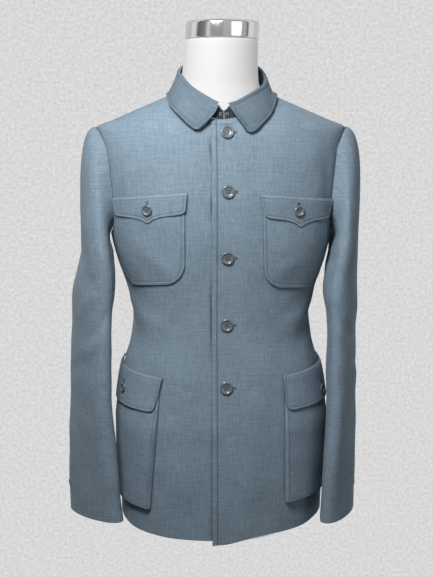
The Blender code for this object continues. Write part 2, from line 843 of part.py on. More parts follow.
def fall_point(angle, row):
    roll = roll_point(angle)
    out = away_from_neck(angle)
    if row < len(ROLL):
        step_out, step_up = ROLL[row]
        return roll + out * step_out + Vector((0, 0, step_up))
    start = roll + out * ROLL[-1][0] + Vector((0, 0, ROLL[-1][1]))
    edge = Vector([smooth(COLLAR, angle, c) for c in (4, 5, 6)])
    share = (row - len(ROLL) + 1) / FALL_ROWS
    point = start + (edge - start) * share
    fade = ease(angle, *FULLNESS_FADE)
    fullness = FALL_FULLNESS + (FALL_SIDE_FULLNESS - FALL_FULLNESS) * fade
    point += out * fullness * math.sin(math.pi * share)
    return push_out(point, FALL_CLEAR)


# Pockets and flaps

FLAP_LIFT = LAY + CLOTH + 0.7       # a flap lies on its pocket
GUSSET = 3.5                        # width of the slanted side of a proud pocket
RISE_DOWN = (20, 100)               # they rise over this depth below their top
RISE_LEFT = 0.15                    # share of it left at their outer edge
RISE_FADE = 0.35                    # and where, across, it starts to fade
CORNER_CROWDING = 1.25
FLAP_COLUMNS_COUNT = 13
FLAP_ROWS = 5
POCKET_ROWS = 11


def panel_point(side, s, z, out):
    """Point over a front, at an arc length from the centre line."""
    q = s / front_length(z)
    if q > 1:
        q = 1 + (s - front_length(z)) / back_length(z)
    return cloth(side * q, z, out)


def pocket_rise(proud, down, across, width):
    """How far a pocket stands off the front, down from its top and across from its edge."""
    fade = (1 - RISE_LEFT) * ease(across, RISE_FADE * width, width)
    return proud * ease(down, *RISE_DOWN) * (1 - fade)


def pocket_columns(width, proud):
    shares = [i / 9 for i in range(10)]
    if proud:
        edge = GUSSET / width
        shares = [0.0] + [edge + (1 - 2 * edge) * i / 8 for i in range(9)] + [1.0]
    return shares


def pocket(row):
    name, side, inner_top, inner_low, top_z, rise, width, height, r_in, r_out, proud = row
    shares = pocket_columns(width, proud)
    outer = []
    inner = []
    for r in range(POCKET_ROWS):
        down = r / (POCKET_ROWS - 1)
        if not proud:
            down = 1 - (1 - down) ** CORNER_CROWDING
        elif r == POCKET_ROWS - 2:
            down = 1 - GUSSET / height
        outer_line = []
        inner_line = []
        for u in shares:
            across, depth = rounded_place(u, down, width, height, r_in, r_out)
            start = inner_top + (inner_low - inner_top) * depth / height
            z = top_z + rise * across - depth
            at_rim = u in (0.0, 1.0) or r == POCKET_ROWS - 1
            body = 0.0 if at_rim else pocket_rise(proud, depth, across, width)
            outer_line.append(panel_point(side, start + across, z, LAY + CLOTH + body))
            inner_line.append(panel_point(side, start + across, z, LAY + body))
        outer.append(outer_line)
        inner.append(inner_line)
    return wall(name, outer, inner)


def rounded_place(u, v, width, height, r_in, r_out):
    """Place on a patch whose two lower corners are round, from shares across and down."""
    depth = v * height
    left = corner_inset(height - depth, r_in)
    right = corner_inset(height - depth, r_out)
    return left + (width - left - right) * u, depth


def corner_inset(above_end, radius):
    if above_end >= radius:
        return 0.0
    return radius - math.sqrt(max(radius ** 2 - (radius - above_end) ** 2, 0.0))


def flap(row):
    name, side, start, top_z, rise, width, draw_in, kind = row
    table = POINT_FLAP if kind == "point" else STRAIGHT_FLAP
    proud = PROUD if kind == "straight" else 0.0
    outer = [[] for _ in range(FLAP_ROWS)]
    inner = [[] for _ in range(FLAP_ROWS)]
    for c in range(FLAP_COLUMNS_COUNT):
        u = c / (FLAP_COLUMNS_COUNT - 1)
        u = 0.5 - 0.5 * math.cos(math.pi * u) if kind == "straight" else u
        depth = smooth(table, u)
        for r in range(FLAP_ROWS):
            v = r / (FLAP_ROWS - 1)
            across = width * u + draw_in * v * (1 - 2 * u)
            down = depth * v
            lift = FLAP_LIFT + pocket_rise(proud, down, across, width)
            z = top_z + rise * across - down
            outer[r].append(panel_point(side, start + across, z, lift + CLOTH))
            inner[r].append(panel_point(side, start + across, z, lift))
    return wall(name, outer, inner)


# Buttons, hook and eye

BUTTON_SEGMENTS = 14


def button(name, centre, normal, radius):
    bm = bmesh.new()
    rings = []
    for share, height in BUTTON_PROFILE:
        if share == 0:
            rings.append([bm.verts.new((0, 0, height))])
            continue
        rings.append([
            bm.verts.new((radius * share * math.cos(2 * math.pi * i / BUTTON_SEGMENTS),
                          radius * share * math.sin(2 * math.pi * i / BUTTON_SEGMENTS), height))
            for i in range(BUTTON_SEGMENTS)
        ])
    for i in range(BUTTON_SEGMENTS):
        j = (i + 1) % BUTTON_SEGMENTS
        bm.faces.new((rings[0][0], rings[1][i], rings[1][j]))
        for inner_ring, outer_ring in zip(rings[1:], rings[2:]):
            bm.faces.new((inner_ring[i], outer_ring[i], outer_ring[j], inner_ring[j]))
    bm.faces.new(rings[-1])
    facing = normal.to_track_quat("Z", "Y").to_matrix().to_4x4()
    made = finish(name, bm, button_plastic(), math.radians(30))
    made.matrix_world = Matrix.Translation(centre * MM) @ facing
    return made


def buttons():
    lifts = {"front": LAP_LIFT + 0.35, "flap": FLAP_LIFT + CLOTH + 0.5,
             "lower_flap": FLAP_LIFT + CLOTH + 1.0}
    for name, side, s, z, radius, under in BUTTONS:
        q = side * s / front_length(z)
        button(name, panel_point(side, s, z, lifts[under]), normal_of(q, z), radius)


CUFF_BUTTON_Z = 92.0
CUFF_BUTTON_ANGLE = -50.0
CUFF_BUTTON_LIFT = 0.0
CUFF_BUTTON_RADIUS = 7.0


def cuff_buttons():
    for name, table, side in (("cuff_button_left", SLEEVE_LEFT, 1),
                              ("cuff_button_right", SLEEVE_RIGHT, -1)):
        at = ring_point(table, CUFF_BUTTON_Z, CUFF_BUTTON_ANGLE)
        along = (ring_point(table, CUFF_BUTTON_Z, CUFF_BUTTON_ANGLE + 8)
                 - ring_point(table, CUFF_BUTTON_Z, CUFF_BUTTON_ANGLE - 8))
        up = (ring_point(table, CUFF_BUTTON_Z + 10, CUFF_BUTTON_ANGLE)
              - ring_point(table, CUFF_BUTTON_Z - 10, CUFF_BUTTON_ANGLE))
        normal = along.cross(up).normalized()
        centre = Vector([smooth(table, CUFF_BUTTON_Z, c) for c in (1, 2)] + [CUFF_BUTTON_Z])
        if normal.dot(at - centre) < 0:
            normal.negate()
        at += normal * CUFF_BUTTON_LIFT
        if side < 0:
            at.x = -at.x
            normal.x = -normal.x
        button(name, at, normal, CUFF_BUTTON_RADIUS)


HOOK_WIRE = 0.6
HOOK_OUT = 1.65         # middle of the wire, out from the stand
HOOK_ANGLE = 2.3
HOOK_TURNS = 7
HOOK_SIZE = (2.2, 2.6)
HOOK_SHARE = 0.5        # place up the stand


def hook_piece(name, side):
    """A bent wire that lies on one end of the collar's stand."""
    curve = bpy.data.curves.new(name, "CURVE")
    curve.dimensions = "3D"
    curve.bevel_depth = HOOK_WIRE * MM
    curve.bevel_resolution = 1
    curve.use_fill_caps = True
    low = stand_base(HOOK_ANGLE)
    height = stand_top(HOOK_ANGLE).z - low.z
    width, rise = HOOK_SIZE
    spline = curve.splines.new("POLY")
    spline.points.add(HOOK_TURNS)
    for i in range(HOOK_TURNS + 1):
        angle = math.radians(-60 + 300 * i / HOOK_TURNS)
        place = stand_point(HOOK_ANGLE, HOOK_SHARE + rise * math.sin(angle) / height)
        place.x = side * (low.x + width * math.cos(angle))
        place.y -= HOOK_OUT
        spline.points[i].co = (*(place * MM), 1.0)
    made = bpy.data.objects.new(name, curve)
    made.data.materials.append(hook_metal())
    bpy.context.scene.collection.objects.link(made)
    return made


# Form

FORM_SEGMENTS = 32
FORM_TOP_ROWS = (690, 712, 724, 734, 744, 754, 764, 774, 783)
FORM_INSIDE_SHOULDER = 7.6
NECK_CLEAR = 7.0
LEAN_FROM_Z = 790.0
NECK_SHIFT = -3.5
NECK_SHIFT_Z = (760, 800)
FORM_NECK_ROWS = (793, 806, 835, NECK_TOP_Z)
SHOULDER_HEIGHTS = (600, 800)
CAP_DEPTH_SHARE = 0.985


def form_ring(width, front_depth, back_depth, power, z):
    ring = []
    for i in range(FORM_SEGMENTS):
        angle = 2 * math.pi * i / FORM_SEGMENTS
        x = math.sin(angle)
        y = -math.cos(angle)
        depth = front_depth if y < 0 else back_depth
        reach = (abs(x / width) ** power + abs(y / depth) ** power) ** (-1 / power)
        ring.append(Vector((x * reach, y * reach, z)))
    return ring


def wider(ring, other):
    """The outer one of two rings at each of their points."""
    return [a if a.xy.length > b.xy.length else b for a, b in zip(ring, other)]


def in_neckline(point):
    """Whether a point lies well inside the neckline, seen from above."""
    depth = NECK_FRONT if point.y < 0 else NECK_BACK
    return math.hypot(point.x / (NECK_WIDTH - NECK_CLEAR), point.y / (depth - NECK_CLEAR)) < 1


def neck_sizes(z):
    return tuple(smooth(NECK, z, c) for c in (1, 2, 3))


def lean(point):
    """Leans the neck and its cap to one side."""
    up = max(point.z - LEAN_FROM_Z, 0.0)
    shift = NECK_SHIFT * ease(point.z, *NECK_SHIFT_Z) + up * math.tan(FORM_LEAN)
    return Vector((point.x + shift, point.y, point.z))


def form_torso():
    rings = [form_ring(w, f, b, n, z) for z, w, f, b, n in FORM]
    for z in FORM_TOP_ROWS:
        width, front_depth, back_depth, power, _ = section(z)
        body_ring = form_ring(width, front_depth, back_depth, power, z)
        body_ring = [keep_inside(p, FORM_INSIDE_SHOULDER) for p in body_ring]
        neck_ring = form_ring(*neck_sizes(z), 2.0, z)
        rings.append(wider(body_ring, neck_ring))
    for z in FORM_NECK_ROWS:
        rings.append(form_ring(*neck_sizes(z), 2.0, z))
    rings = [[lean(p) for p in ring] for ring in rings]
    lowest, highest = SHOULDER_HEIGHTS
    for ring in rings:
        for i, point in enumerate(ring):
            if lowest < point.z < highest and not in_neckline(point):
                ring[i] = keep_inside(point, FORM_INSIDE_SHOULDER)
    return skin_of_rings("form_torso", rings, form_cover())


def form_cap():
    base = NECK_TOP_Z + SEAM
    rings = []
    for radius, height in CAP_PROFILE[:-1]:
        depth = radius * CAP_DEPTH_SHARE
        rings.append(form_ring(radius, depth, depth, 2.0, base + height))
    rings = [[lean(p) for p in ring] for ring in rings]
    return skin_of_rings("form_cap", rings, chrome())


def main():
    for item in list(bpy.data.objects):
        bpy.data.objects.remove(item, do_unlink=True)
    front("front_left", 1)
    front("front_right", -1)
    back()
    for name, table, side in (("sleeve_left", SLEEVE_LEFT, 1), ("sleeve_right", SLEEVE_RIGHT, -1)):
        sleeve(name + "_top", table, side, RING_TOP_ANGLES)
        sleeve(name + "_under", table, side, RING_UNDER_ANGLES)
    collar_stand()
    collar_fall()
    for row in POCKETS:
        pocket(row)
    for row in FLAPS:
        flap(row)
    buttons()
    cuff_buttons()
    hook_piece("collar_hook", -1)
    hook_piece("collar_eye", 1)
    form_torso()
    form_cap()


main()
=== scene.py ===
# Looks of a mao jacket that stands on its limbless dress form.
# Tables and sizes are in millimetres, meshes in metres. The front faces -Y.
# Left and right in the names are the wearer's, so left lies on +X.
import json
import math
from bisect import bisect_right

import bpy
from mathutils import Matrix, Vector, noise

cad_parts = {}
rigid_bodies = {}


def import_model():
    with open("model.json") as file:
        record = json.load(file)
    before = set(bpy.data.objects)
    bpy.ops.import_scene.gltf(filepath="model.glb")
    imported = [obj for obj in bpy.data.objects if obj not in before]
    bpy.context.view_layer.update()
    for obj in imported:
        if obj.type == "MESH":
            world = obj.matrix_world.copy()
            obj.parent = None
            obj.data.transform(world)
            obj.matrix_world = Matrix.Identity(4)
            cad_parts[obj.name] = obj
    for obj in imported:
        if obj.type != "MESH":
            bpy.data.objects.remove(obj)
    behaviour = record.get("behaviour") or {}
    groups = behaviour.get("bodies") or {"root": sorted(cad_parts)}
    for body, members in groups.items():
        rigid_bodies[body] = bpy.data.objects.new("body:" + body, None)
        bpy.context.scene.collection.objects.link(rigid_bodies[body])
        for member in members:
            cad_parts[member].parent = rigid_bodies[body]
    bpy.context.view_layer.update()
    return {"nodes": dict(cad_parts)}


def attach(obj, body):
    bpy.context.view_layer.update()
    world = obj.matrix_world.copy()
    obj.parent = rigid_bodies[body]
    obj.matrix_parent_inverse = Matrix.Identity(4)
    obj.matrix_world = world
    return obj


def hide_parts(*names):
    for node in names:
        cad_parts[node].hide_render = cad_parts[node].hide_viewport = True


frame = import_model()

mm = 0.001


def deselectAll():
    bpy.ops.object.select_all(action='DESELECT')
    bpy.context.view_layer.objects.active = None


# Camera: level with the chest, tipped down a little, from the viewer's left.
camera = {"place": (-0.10962, -1.93692, 0.7656), "down": 9.4708, "turn": -3.0, "lens": 68.63}


def makeCamera():
    deselectAll()
    tilt = math.pi / 2 - math.radians(camera["down"])
    bpy.ops.object.camera_add(location=camera["place"],
                              rotation=(tilt, 0, math.radians(camera["turn"])))
    made = bpy.context.object
    made.data.lens = camera["lens"]
    made.data.sensor_width = 36
    bpy.context.scene.camera = made


makeCamera()
print("camera placed")

# Cloth: the wall of a sewn piece, the gap and the dip at a seam, how the fronts lap, how far
# round the side the folds of a front run, the rounding of edges and their painted shade.
cloth = {"wall": 2.0, "seam": 0.3, "seamDip": 0.6, "seamFade": 6, "overlap": 22.0,
         "underlap": 20.0, "lapLift": 1.5, "placket": 26.0, "lapFade": 34.0, "foldEnd": 1.1,
         "ripple": (55, 0.7), "round": 0.55, "roundFrom": 60, "rimPaintedShade": 0.7}
slopeStep = {"q": 0.006, "mm": 1.5}  # half the run over which a slope is read
neck = {"width": 86.0, "front": 88.0, "back": 75.0, "dropZ": 740.0}
shoulderPointZ = 727.5
pitZ = 545.0

# Level sections of the jacket: z, half width, front, back, exponent.
bodyTable = [
    (0, 181, 133, 113, 2.4), (100, 183.5, 131, 113, 2.4), (180, 186.5, 127.5, 112.5, 2.4),
    (214, 187, 126, 112, 2.4), (240, 185, 124, 110, 2.4), (277, 181, 121, 107, 2.4),
    (300, 177, 119, 104, 2.4), (328, 170, 116.5, 100, 2.4), (345, 164.5, 115, 97, 2.4),
    (370, 159.5, 113.5, 94, 2.4), (391, 157.5, 113, 92, 2.4), (412, 158, 113.5, 93, 2.4),
    (434, 162, 114.5, 95, 2.4), (453, 167, 115.5, 97, 2.4), (500, 183, 119, 103, 2.4),
    (545, 194, 121, 108, 2.4), (604, 201, 119.5, 112, 2.4), (647, 206, 114, 113, 2.4),
    (672, 209, 110, 112, 2.35), (690, 212, 106.5, 110, 2.25), (715, 216.5, 101, 106, 2.1),
    (727.5, 216, 96.5, 103, 2.05), (742, 184, 88, 98, 2.0), (755, 154, 77.5, 94, 2.0),
    (770, 119, 63, 88, 2.0), (782, 91, 50, 82, 2.0), (796, 58, 36, 73, 2.0),
    (806, 34, 28, 66, 2.0),
]
# Armhole seam from the shoulder point down the front and up the back: angle, y, z.
armholeTable = [
    (0, 0, 727.5), (20, -27, 718), (45, -46, 690), (68, -53, 650), (90, -55, 608),
    (115, -50, 574), (138, -33, 552), (160, -8, 545.5), (180, 12, 545), (202, 35, 554),
    (225, 51, 578), (248, 56, 612), (270, 55, 650), (294, 49, 684), (338, 27, 718),
    (360, 0, 727.5),
]
sideSeamTable = [(0, 34), (300, 32), (400, 22), (545, 12)]
# Rings of the sleeves: z, x, y, half length, half width, turn.
sleeveLeftTable = [
    (50, 202, -78, 62, 22.5, 27), (102, 204, -73, 63.5, 22.5, 25),
    (186, 207, -65, 66.5, 23, 20), (260, 209.5, -55, 70, 23, 17), (300, 210, -49, 72, 25, 16),
    (340, 210.5, -43, 74, 24, 15), (372, 211, -38, 76, 23, 15), (405, 211.5, -33, 77, 25.5, 14),
    (444, 209, -27, 80, 29, 13), (477, 210.5, -20, 82, 28, 10), (510, 214.5, -14, 84, 25, 7),
]
sleeveRightTable = [
    (42, 226, -45, 62, 24, 45), (102, 229.5, -41, 64, 24, 40), (186, 231, -35, 66.5, 26, 33),
    (260, 232.5, -29, 70, 25, 25), (300, 232, -26, 72, 26, 24), (340, 231, -23, 74, 26, 23),
    (372, 230, -20, 76, 24.5, 22), (405, 229, -17, 77, 26, 21), (444, 225, -14, 80, 30, 18),
    (477, 220.5, -12, 82, 29, 14), (510, 217.5, -10, 84, 26, 9),
]
# Collar: angle round the neck, roll x y z, edge x y z. The leaves aren't quite a pair.
collarBack = [(120, 68.5, 37, 831.5, 83, 42, 787), (150, 41, 62, 840.5, 51, 77, 791),
              (180, 0, 70, 843, 0, 88, 792)]
collarLeftTable = [
    (7, 9.3, -85, 767.5, 36, -101, 725), (10, 13, -84.5, 768.5, 38.8, -101, 721.2),
    (14, 19, -83.5, 770, 43, -100.3, 719.6), (20, 26.5, -80.8, 773, 50.5, -98.5, 722.3),
    (26, 33.5, -77.3, 776.2, 58.5, -95, 728.4), (45, 55, -60, 787.5, 75.5, -82.5, 746),
    (58, 66.5, -45, 793.5, 83.4, -69, 757), (72, 75.5, -27, 801, 89, -45, 766.5),
    (90, 80, 0, 811, 93, -5, 778.5)] + collarBack
collarRightTable = [
    (7, 10.3, -85, 769.5, 41, -100.5, 728.3), (10, 13.5, -84.5, 770.5, 44, -101, 725.9),
    (14, 19, -83.2, 773, 49, -100.3, 725.8), (20, 27.5, -79.8, 778, 55.5, -98.5, 729.6),
    (26, 35, -75.5, 782.2, 63, -95.5, 736), (45, 52.5, -60, 793, 76, -86, 749),
    (58, 61.5, -46, 801, 84.5, -72.5, 757.8), (72, 70, -28, 811, 91.5, -50, 767),
    (90, 75.5, 2, 821, 93, -8, 780)] + collarBack
hemLeftTable = [(-0.1, 12.5), (0.0, 14.0), (0.18, 24), (0.29, 28), (0.42, 30.5),
                (0.56, 33.5), (0.7, 40), (1.0, 47)]
hemRightTable = [(-0.1, 20.5), (0.12, 20.7), (0.24, 21.6), (0.38, 22.8), (0.52, 25.5),
                 (0.65, 28.5), (0.8, 34.5), (1.0, 41)]
backHemZ = 25.0
hemZ = 30  # the level at which places along the hem are read


# A smooth curve through the rows of a table, which never overshoots them.
def smooth(table, at, column=1):
    keys = [row[0] for row in table]
    at = min(max(at, keys[0]), keys[-1])
    i = min(bisect_right(keys, at) - 1, len(keys) - 2)

    def slope(k):
        return (table[k + 1][column] - table[k][column]) / (keys[k + 1] - keys[k])

    def tangent(k):
        if k == 0:
            return slope(0)
        if k == len(keys) - 1:
            return slope(k - 1)
        before, after = slope(k - 1), slope(k)
        return 0.0 if before * after <= 0 else 2.0 * before * after / (before + after)

    span = keys[i + 1] - keys[i]
    t = (at - keys[i]) / span
    return ((2 * t ** 3 - 3 * t ** 2 + 1) * table[i][column]
            + (t ** 3 - 2 * t ** 2 + t) * span * tangent(i)
            + (3 * t ** 2 - 2 * t ** 3) * table[i + 1][column]
            + (t ** 3 - t ** 2) * span * tangent(i + 1))


def ease(value, start, end):
    t = min(max((value - start) / (end - start), 0.0), 1.0)
    return t * t * (3 - 2 * t)


# The body's surface, read by q: 0 centre front, 1 side, 2 centre back.
arcSteps = 96
sizeStore = {}
arcStore = {}


def bodySize(z):
    key = round(z * 20)
    if key not in sizeStore:
        sizeStore[key] = tuple(smooth(bodyTable, key / 20, c) for c in (1, 2, 3, 4))
    return sizeStore[key]


def bodyArcs(z):
    key = round(z * 2)
    if key not in arcStore:
        width, front, back, power = bodySize(key / 2)
        found = []
        for depth in (front, back):
            total = [0.0]
            last = (0.0, depth)
            for i in range(1, arcSteps + 1):
                angle = 0.5 * math.pi * i / arcSteps
                here = (width * math.sin(angle) ** (2 / power),
                        depth * max(math.cos(angle), 0.0) ** (2 / power))
                total.append(total[-1] + math.dist(last, here))
                last = here
            found.append(total)
        arcStore[key] = found
    return arcStore[key]


def frontLength(z):
    return bodyArcs(z)[0][-1]


def backLength(z):
    return bodyArcs(z)[1][-1]


def chart(q, z):
    width, front, back, power = bodySize(z)
    arcs = bodyArcs(z)
    sign = -1.0 if q < 0 else 1.0
    q = abs(q)
    if q > 2:
        q = 4 - q
        sign = -sign
    total = arcs[0] if q <= 1 else arcs[1]
    target = (q if q <= 1 else 2 - q) * total[-1]
    i = min(bisect_right(total, target) - 1, arcSteps - 1)
    step = (target - total[i]) / (total[i + 1] - total[i])
    angle = 0.5 * math.pi * (i + step) / arcSteps
    reach = max(math.cos(angle), 0.0) ** (2 / power)
    return Vector((sign * width * math.sin(angle) ** (2 / power),
                   -front * reach if q <= 1 else back * reach, z))


def chartOfDepth(y, z):
    _, front, back, power = bodySize(z)
    total = bodyArcs(z)[0 if y <= 0 else 1]
    depth = front if y <= 0 else back
    angle = math.acos(min((abs(y) / depth) ** (power / 2), 1.0))
    place = angle / (0.5 * math.pi) * arcSteps
    i = min(int(place), arcSteps - 1)
    share = (total[i] + (total[i + 1] - total[i]) * (place - i)) / total[-1]
    return share if y <= 0 else 2 - share


def normalOf(q, z):
    across = chart(q + slopeStep["q"], z) - chart(q - slopeStep["q"], z)
    up = chart(q, z + slopeStep["mm"]) - chart(q, z - slopeStep["mm"])
    return across.cross(up).normalized()


# Below zero inside the body and above zero outside.
def implicit(point):
    width, front, back, power = bodySize(point.z)
    depth = front if point.y <= 0 else back
    return (abs(point.x / width) ** power + abs(point.y / depth) ** power) ** (1 / power) - 1


def bodyDistance(point):
    slope = Vector([(implicit(point + axis) - implicit(point - axis)) / 2
                    for axis in (Vector((1, 0, 0)), Vector((0, 1, 0)), Vector((0, 0, 1)))])
    return implicit(point) / slope.length, slope.normalized()


def pushOut(point, gap):
    for _ in range(5):
        distance, outward = bodyDistance(point)
        if distance >= gap:
            break
        point = point + outward * (gap - distance)
    return point


def keepInside(point, depth):
    for _ in range(6):
        distance, outward = bodyDistance(point)
        if distance <= -depth:
            break
        point = point - outward * (distance + depth)
    return point


def neckline(angle):
    turn = math.radians(angle)
    x = neck["width"] * math.sin(turn)
    y = -(neck["front"] if angle <= 90 else neck["back"]) * math.cos(turn)
    low, high = neck["dropZ"], bodyTable[-1][0]
    for _ in range(30):
        middle = 0.5 * (low + high)
        if implicit(Vector((x, y, middle))) < 0:
            low = middle
        else:
            high = middle
    z = 0.5 * (low + high)
    if angle in (0, 180):
        return (0.0 if angle == 0 else 2.0, z)
    return (chartOfDepth(y, z), z)


def armhole(angle):
    z = smooth(armholeTable, angle, 2)
    return (chartOfDepth(smooth(armholeTable, angle, 1), z), z)


def sideReach(z):
    return frontLength(z) + smooth(sideSeamTable, z)


def chartAt(s, z):
    length = frontLength(z)
    return s / length if s <= length else 1 + (s - length) / backLength(z)


# Soft folds of the fronts: side, from s z, to s z, half width, height. Left is 1.
foldTable = [
    (1, 205, 445, 95, 375, 30, 3.0), (1, 225, 425, 130, 350, 28, -2.5),
    (1, 60, 360, 45, 60, 36, 2.5), (1, 150, 520, 70, 470, 20, 0.9),
    (1, 30, 250, 26, 60, 16, -0.8), (1, 205, 520, 165, 430, 15, -1.2),
    (1, 180, 700, 195, 560, 17, -1.6), (1, 165, 700, 120, 640, 22, 0.8),
    (-1, 210, 440, 110, 380, 30, 3.0), (-1, 228, 415, 150, 345, 28, -2.5),
    (-1, 75, 330, 80, 60, 38, 2.5), (-1, 150, 530, 80, 470, 20, 0.9),
    (-1, 40, 300, 34, 70, 18, -0.8), (-1, 205, 520, 170, 425, 15, -1.2),
    (-1, 180, 700, 195, 560, 17, -1.6),
]


def foldRise(along, place, halfWidth, height):
    t = min(max(place.dot(along) / along.length_squared, 0.0), 1.0)
    away = (place - along * t).length
    if away >= halfWidth:
        return 0.0
    return height * (1 - ease(away, 0, halfWidth)) * (1 - abs(2 * t - 1) ** 3)


def foldHeight(table, side, s, z):
    height = 0.0
    for rowSide, s1, z1, s2, z2, halfWidth, rowHeight in table:
        if rowSide == side:
            height += foldRise(Vector((s2 - s1, z2 - z1)), Vector((s - s1, z - z1)),
                               halfWidth, rowHeight)
    return height


def ripple(point, size, height):
    return noise.noise(point / size) * height


def bell(value, middle, width):
    return math.exp(-((value - middle) / width) ** 2)


# A place on the jacket: s mm round from the centre front, at z, and out from the cloth.
def onCloth(side, s, z, out):
    q = side * chartAt(abs(s), z) if s >= 0 else -side * chartAt(-s, z)
    height = 0.0
    if abs(q) < cloth["foldEnd"]:
        foldSide = -1 if q < 0 else 1
        height = foldHeight(foldTable, foldSide, abs(q) * frontLength(z), z)
    base = chart(q, z)
    return base + normalOf(q, z) * (out + height + ripple(base, *cloth["ripple"]))


# What a sheet measures before it gets its wall: area, widest row and longest column.
def measureSheet(mesh, columns, rows):
    n = columns + 1
    points = [vertex.co for vertex in mesh.vertices]
    widest = max(sum((points[r * n + c] - points[r * n + c + 1]).length for c in range(columns))
                 for r in range(rows + 1))
    longest = max(sum((points[r * n + c] - points[r * n + n + c]).length for r in range(rows))
                  for c in range(n))
    return sum(face.area for face in mesh.polygons), widest, longest


# Sheets of cloth: a primitive grid, each vertex put in its place, then the wall and the
# rounded edges. Flat coordinates along and across the grain are kept in the UV map.
def makeSheet(name, columns, rows, place, flatPlace, outward, paintedShadeAt=None):
    deselectAll()
    bpy.ops.mesh.primitive_grid_add(x_subdivisions=columns, y_subdivisions=rows, size=1)
    piece = bpy.context.object
    piece.name = name
    mesh = piece.data
    mesh.name = name
    flat = []
    # Painted shade: a darkening mask per vertex, strong along the sheet's rim, elsewhere as dark as the
    # piece's own shade function says.
    paintedShade = mesh.attributes.new("paintedShade", 'FLOAT', 'POINT')
    for vertex in mesh.vertices:
        c = int((vertex.co.x + 0.5) * columns + 0.5)
        r = int((vertex.co.y + 0.5) * rows + 0.5)
        flat.append(flatPlace(c, r))
        vertex.co = place(c, r) * mm
        rim = cloth["rimPaintedShade"] if c in (0, columns) or r in (0, rows) else 0.0
        paintedShade.data[vertex.index].value = max(rim, paintedShadeAt(c, r) if paintedShadeAt else 0.0)
    uv = mesh.uv_layers.active.data
    for loop in mesh.loops:
        u, v = flat[loop.vertex_index]
        uv[loop.index].uv = (u * mm, v * mm)
    mesh.update()
    middle = mesh.polygons[len(mesh.polygons) // 2 + columns // 2]
    if middle.normal.dot(outward) < 0:
        bpy.ops.object.mode_set(mode='EDIT')
        bpy.ops.mesh.select_all(action='SELECT')
        bpy.ops.mesh.flip_normals()
        bpy.ops.object.mode_set(mode='OBJECT')
    area, widest, longest = measureSheet(mesh, columns, rows)
    solid = piece.modifiers.new("wall", 'SOLIDIFY')
    solid.thickness = cloth["wall"] * mm
    solid.offset = -1
    bpy.ops.object.modifier_apply(modifier=solid.name)
    edge = piece.modifiers.new("edge", 'BEVEL')
    edge.limit_method = 'ANGLE'
    edge.angle_limit = math.radians(cloth["roundFrom"])
    edge.width = cloth["round"] * mm
    edge.segments = 2
    bpy.ops.object.modifier_apply(modifier=edge.name)
    bpy.ops.object.shade_smooth()
    print(name, len(mesh.polygons), "faces,",
          f"area {area:.4f}, widest {widest:.3f}, longest {longest:.3f}")
    return piece


def dress(piece, material, slot, *nodes):
    piece.data.materials.clear()
    piece.data.materials.append(material)
    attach(piece, "root")
    if nodes:
        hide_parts(*nodes)


# Where the columns of a sheet lie: close together by its edges, even between.
def spacing(starts, count, ends):
    def along(total, i):
        if i < len(starts):
            return starts[i]
        if i >= len(starts) + count:
            return total - ends[len(ends) - 1 - (i - len(starts) - count)]
        low, high = starts[-1], total - ends[-1]
        return low + (high - low) * (i - len(starts) + 1) / (count + 1)
    return along, len(starts) + count + len(ends) - 1


# Stitches: one short spindle, copied to each place. A place is its two ends and the normal.
stitch = {"pitch": 3.1, "length": 2.3, "width": 0.5, "rise": 0.12}


def stitchesAlong(line):
    lengths = [0.0]
    for (a, _), (b, _) in zip(line, line[1:]):
        lengths.append(lengths[-1] + (b - a).length)
    places = []
    for i in range(int(lengths[-1] / stitch["pitch"])):
        at = (i + 0.5) * stitch["pitch"]
        k = min(bisect_right(lengths, at) - 1, len(line) - 2)
        share = (at - lengths[k]) / (lengths[k + 1] - lengths[k])
        middle = line[k][0].lerp(line[k + 1][0], share)
        ahead = (line[k + 1][0] - line[k][0]).normalized() * stitch["length"] / 2
        places.append((middle - ahead, middle + ahead, line[k][1].lerp(line[k + 1][1], share)))
    return places


def sew(name, places, material, slot="wool", width=stitch["width"], rise=stitch["rise"]):
    deselectAll()
    bpy.ops.mesh.primitive_uv_sphere_add(segments=6, ring_count=5, radius=0.5,
                                         rotation=(0, math.pi / 2, 0))
    piece = bpy.context.object
    piece.name = name
    bpy.ops.object.transform_apply(location=False, rotation=True, scale=False)
    base = [v.co.copy() for v in piece.data.vertices]
    faces = [tuple(p.vertices) for p in piece.data.polygons]
    points, polygons = [], []
    for start, end, up in places:
        up = up.normalized()
        ahead = end - start
        side = up.cross(ahead).normalized()
        first = len(points)
        points += [((start + end) / 2 + ahead * p.x + side * p.y * width
                    + up * (p.z * width + rise)) * mm for p in base]
        polygons += [tuple(first + v for v in face) for face in faces]
    mesh = bpy.data.meshes.new(name)
    mesh.from_pydata(points, [], polygons)
    mesh.shade_smooth()
    piece.data = mesh
    dress(piece, material, slot)


# Materials: a few helpers that add nodes to a tree.
def group(name, inputs, outputs):
    made = bpy.data.node_groups.new(name, 'ShaderNodeTree')
    for label, kind, value in inputs:
        socket = made.interface.new_socket(label, in_out='INPUT', socket_type=kind)
        socket.default_value = value
    for label, kind in outputs:
        made.interface.new_socket(label, in_out='OUTPUT', socket_type=kind)
    start = made.nodes.new('NodeGroupInput')
    end = made.nodes.new('NodeGroupOutput')
    return made, start, end


def mathNode(tree, operation, a, b=None, clamp=False):
    node = tree.nodes.new('ShaderNodeMath')
    node.operation = operation
    node.use_clamp = clamp
    for i, value in enumerate((a, b)):
        if value is None:
            continue
        if isinstance(value, (int, float)):
            node.inputs[i].default_value = value
        else:
            tree.links.new(value, node.inputs[i])
    return node.outputs[0]


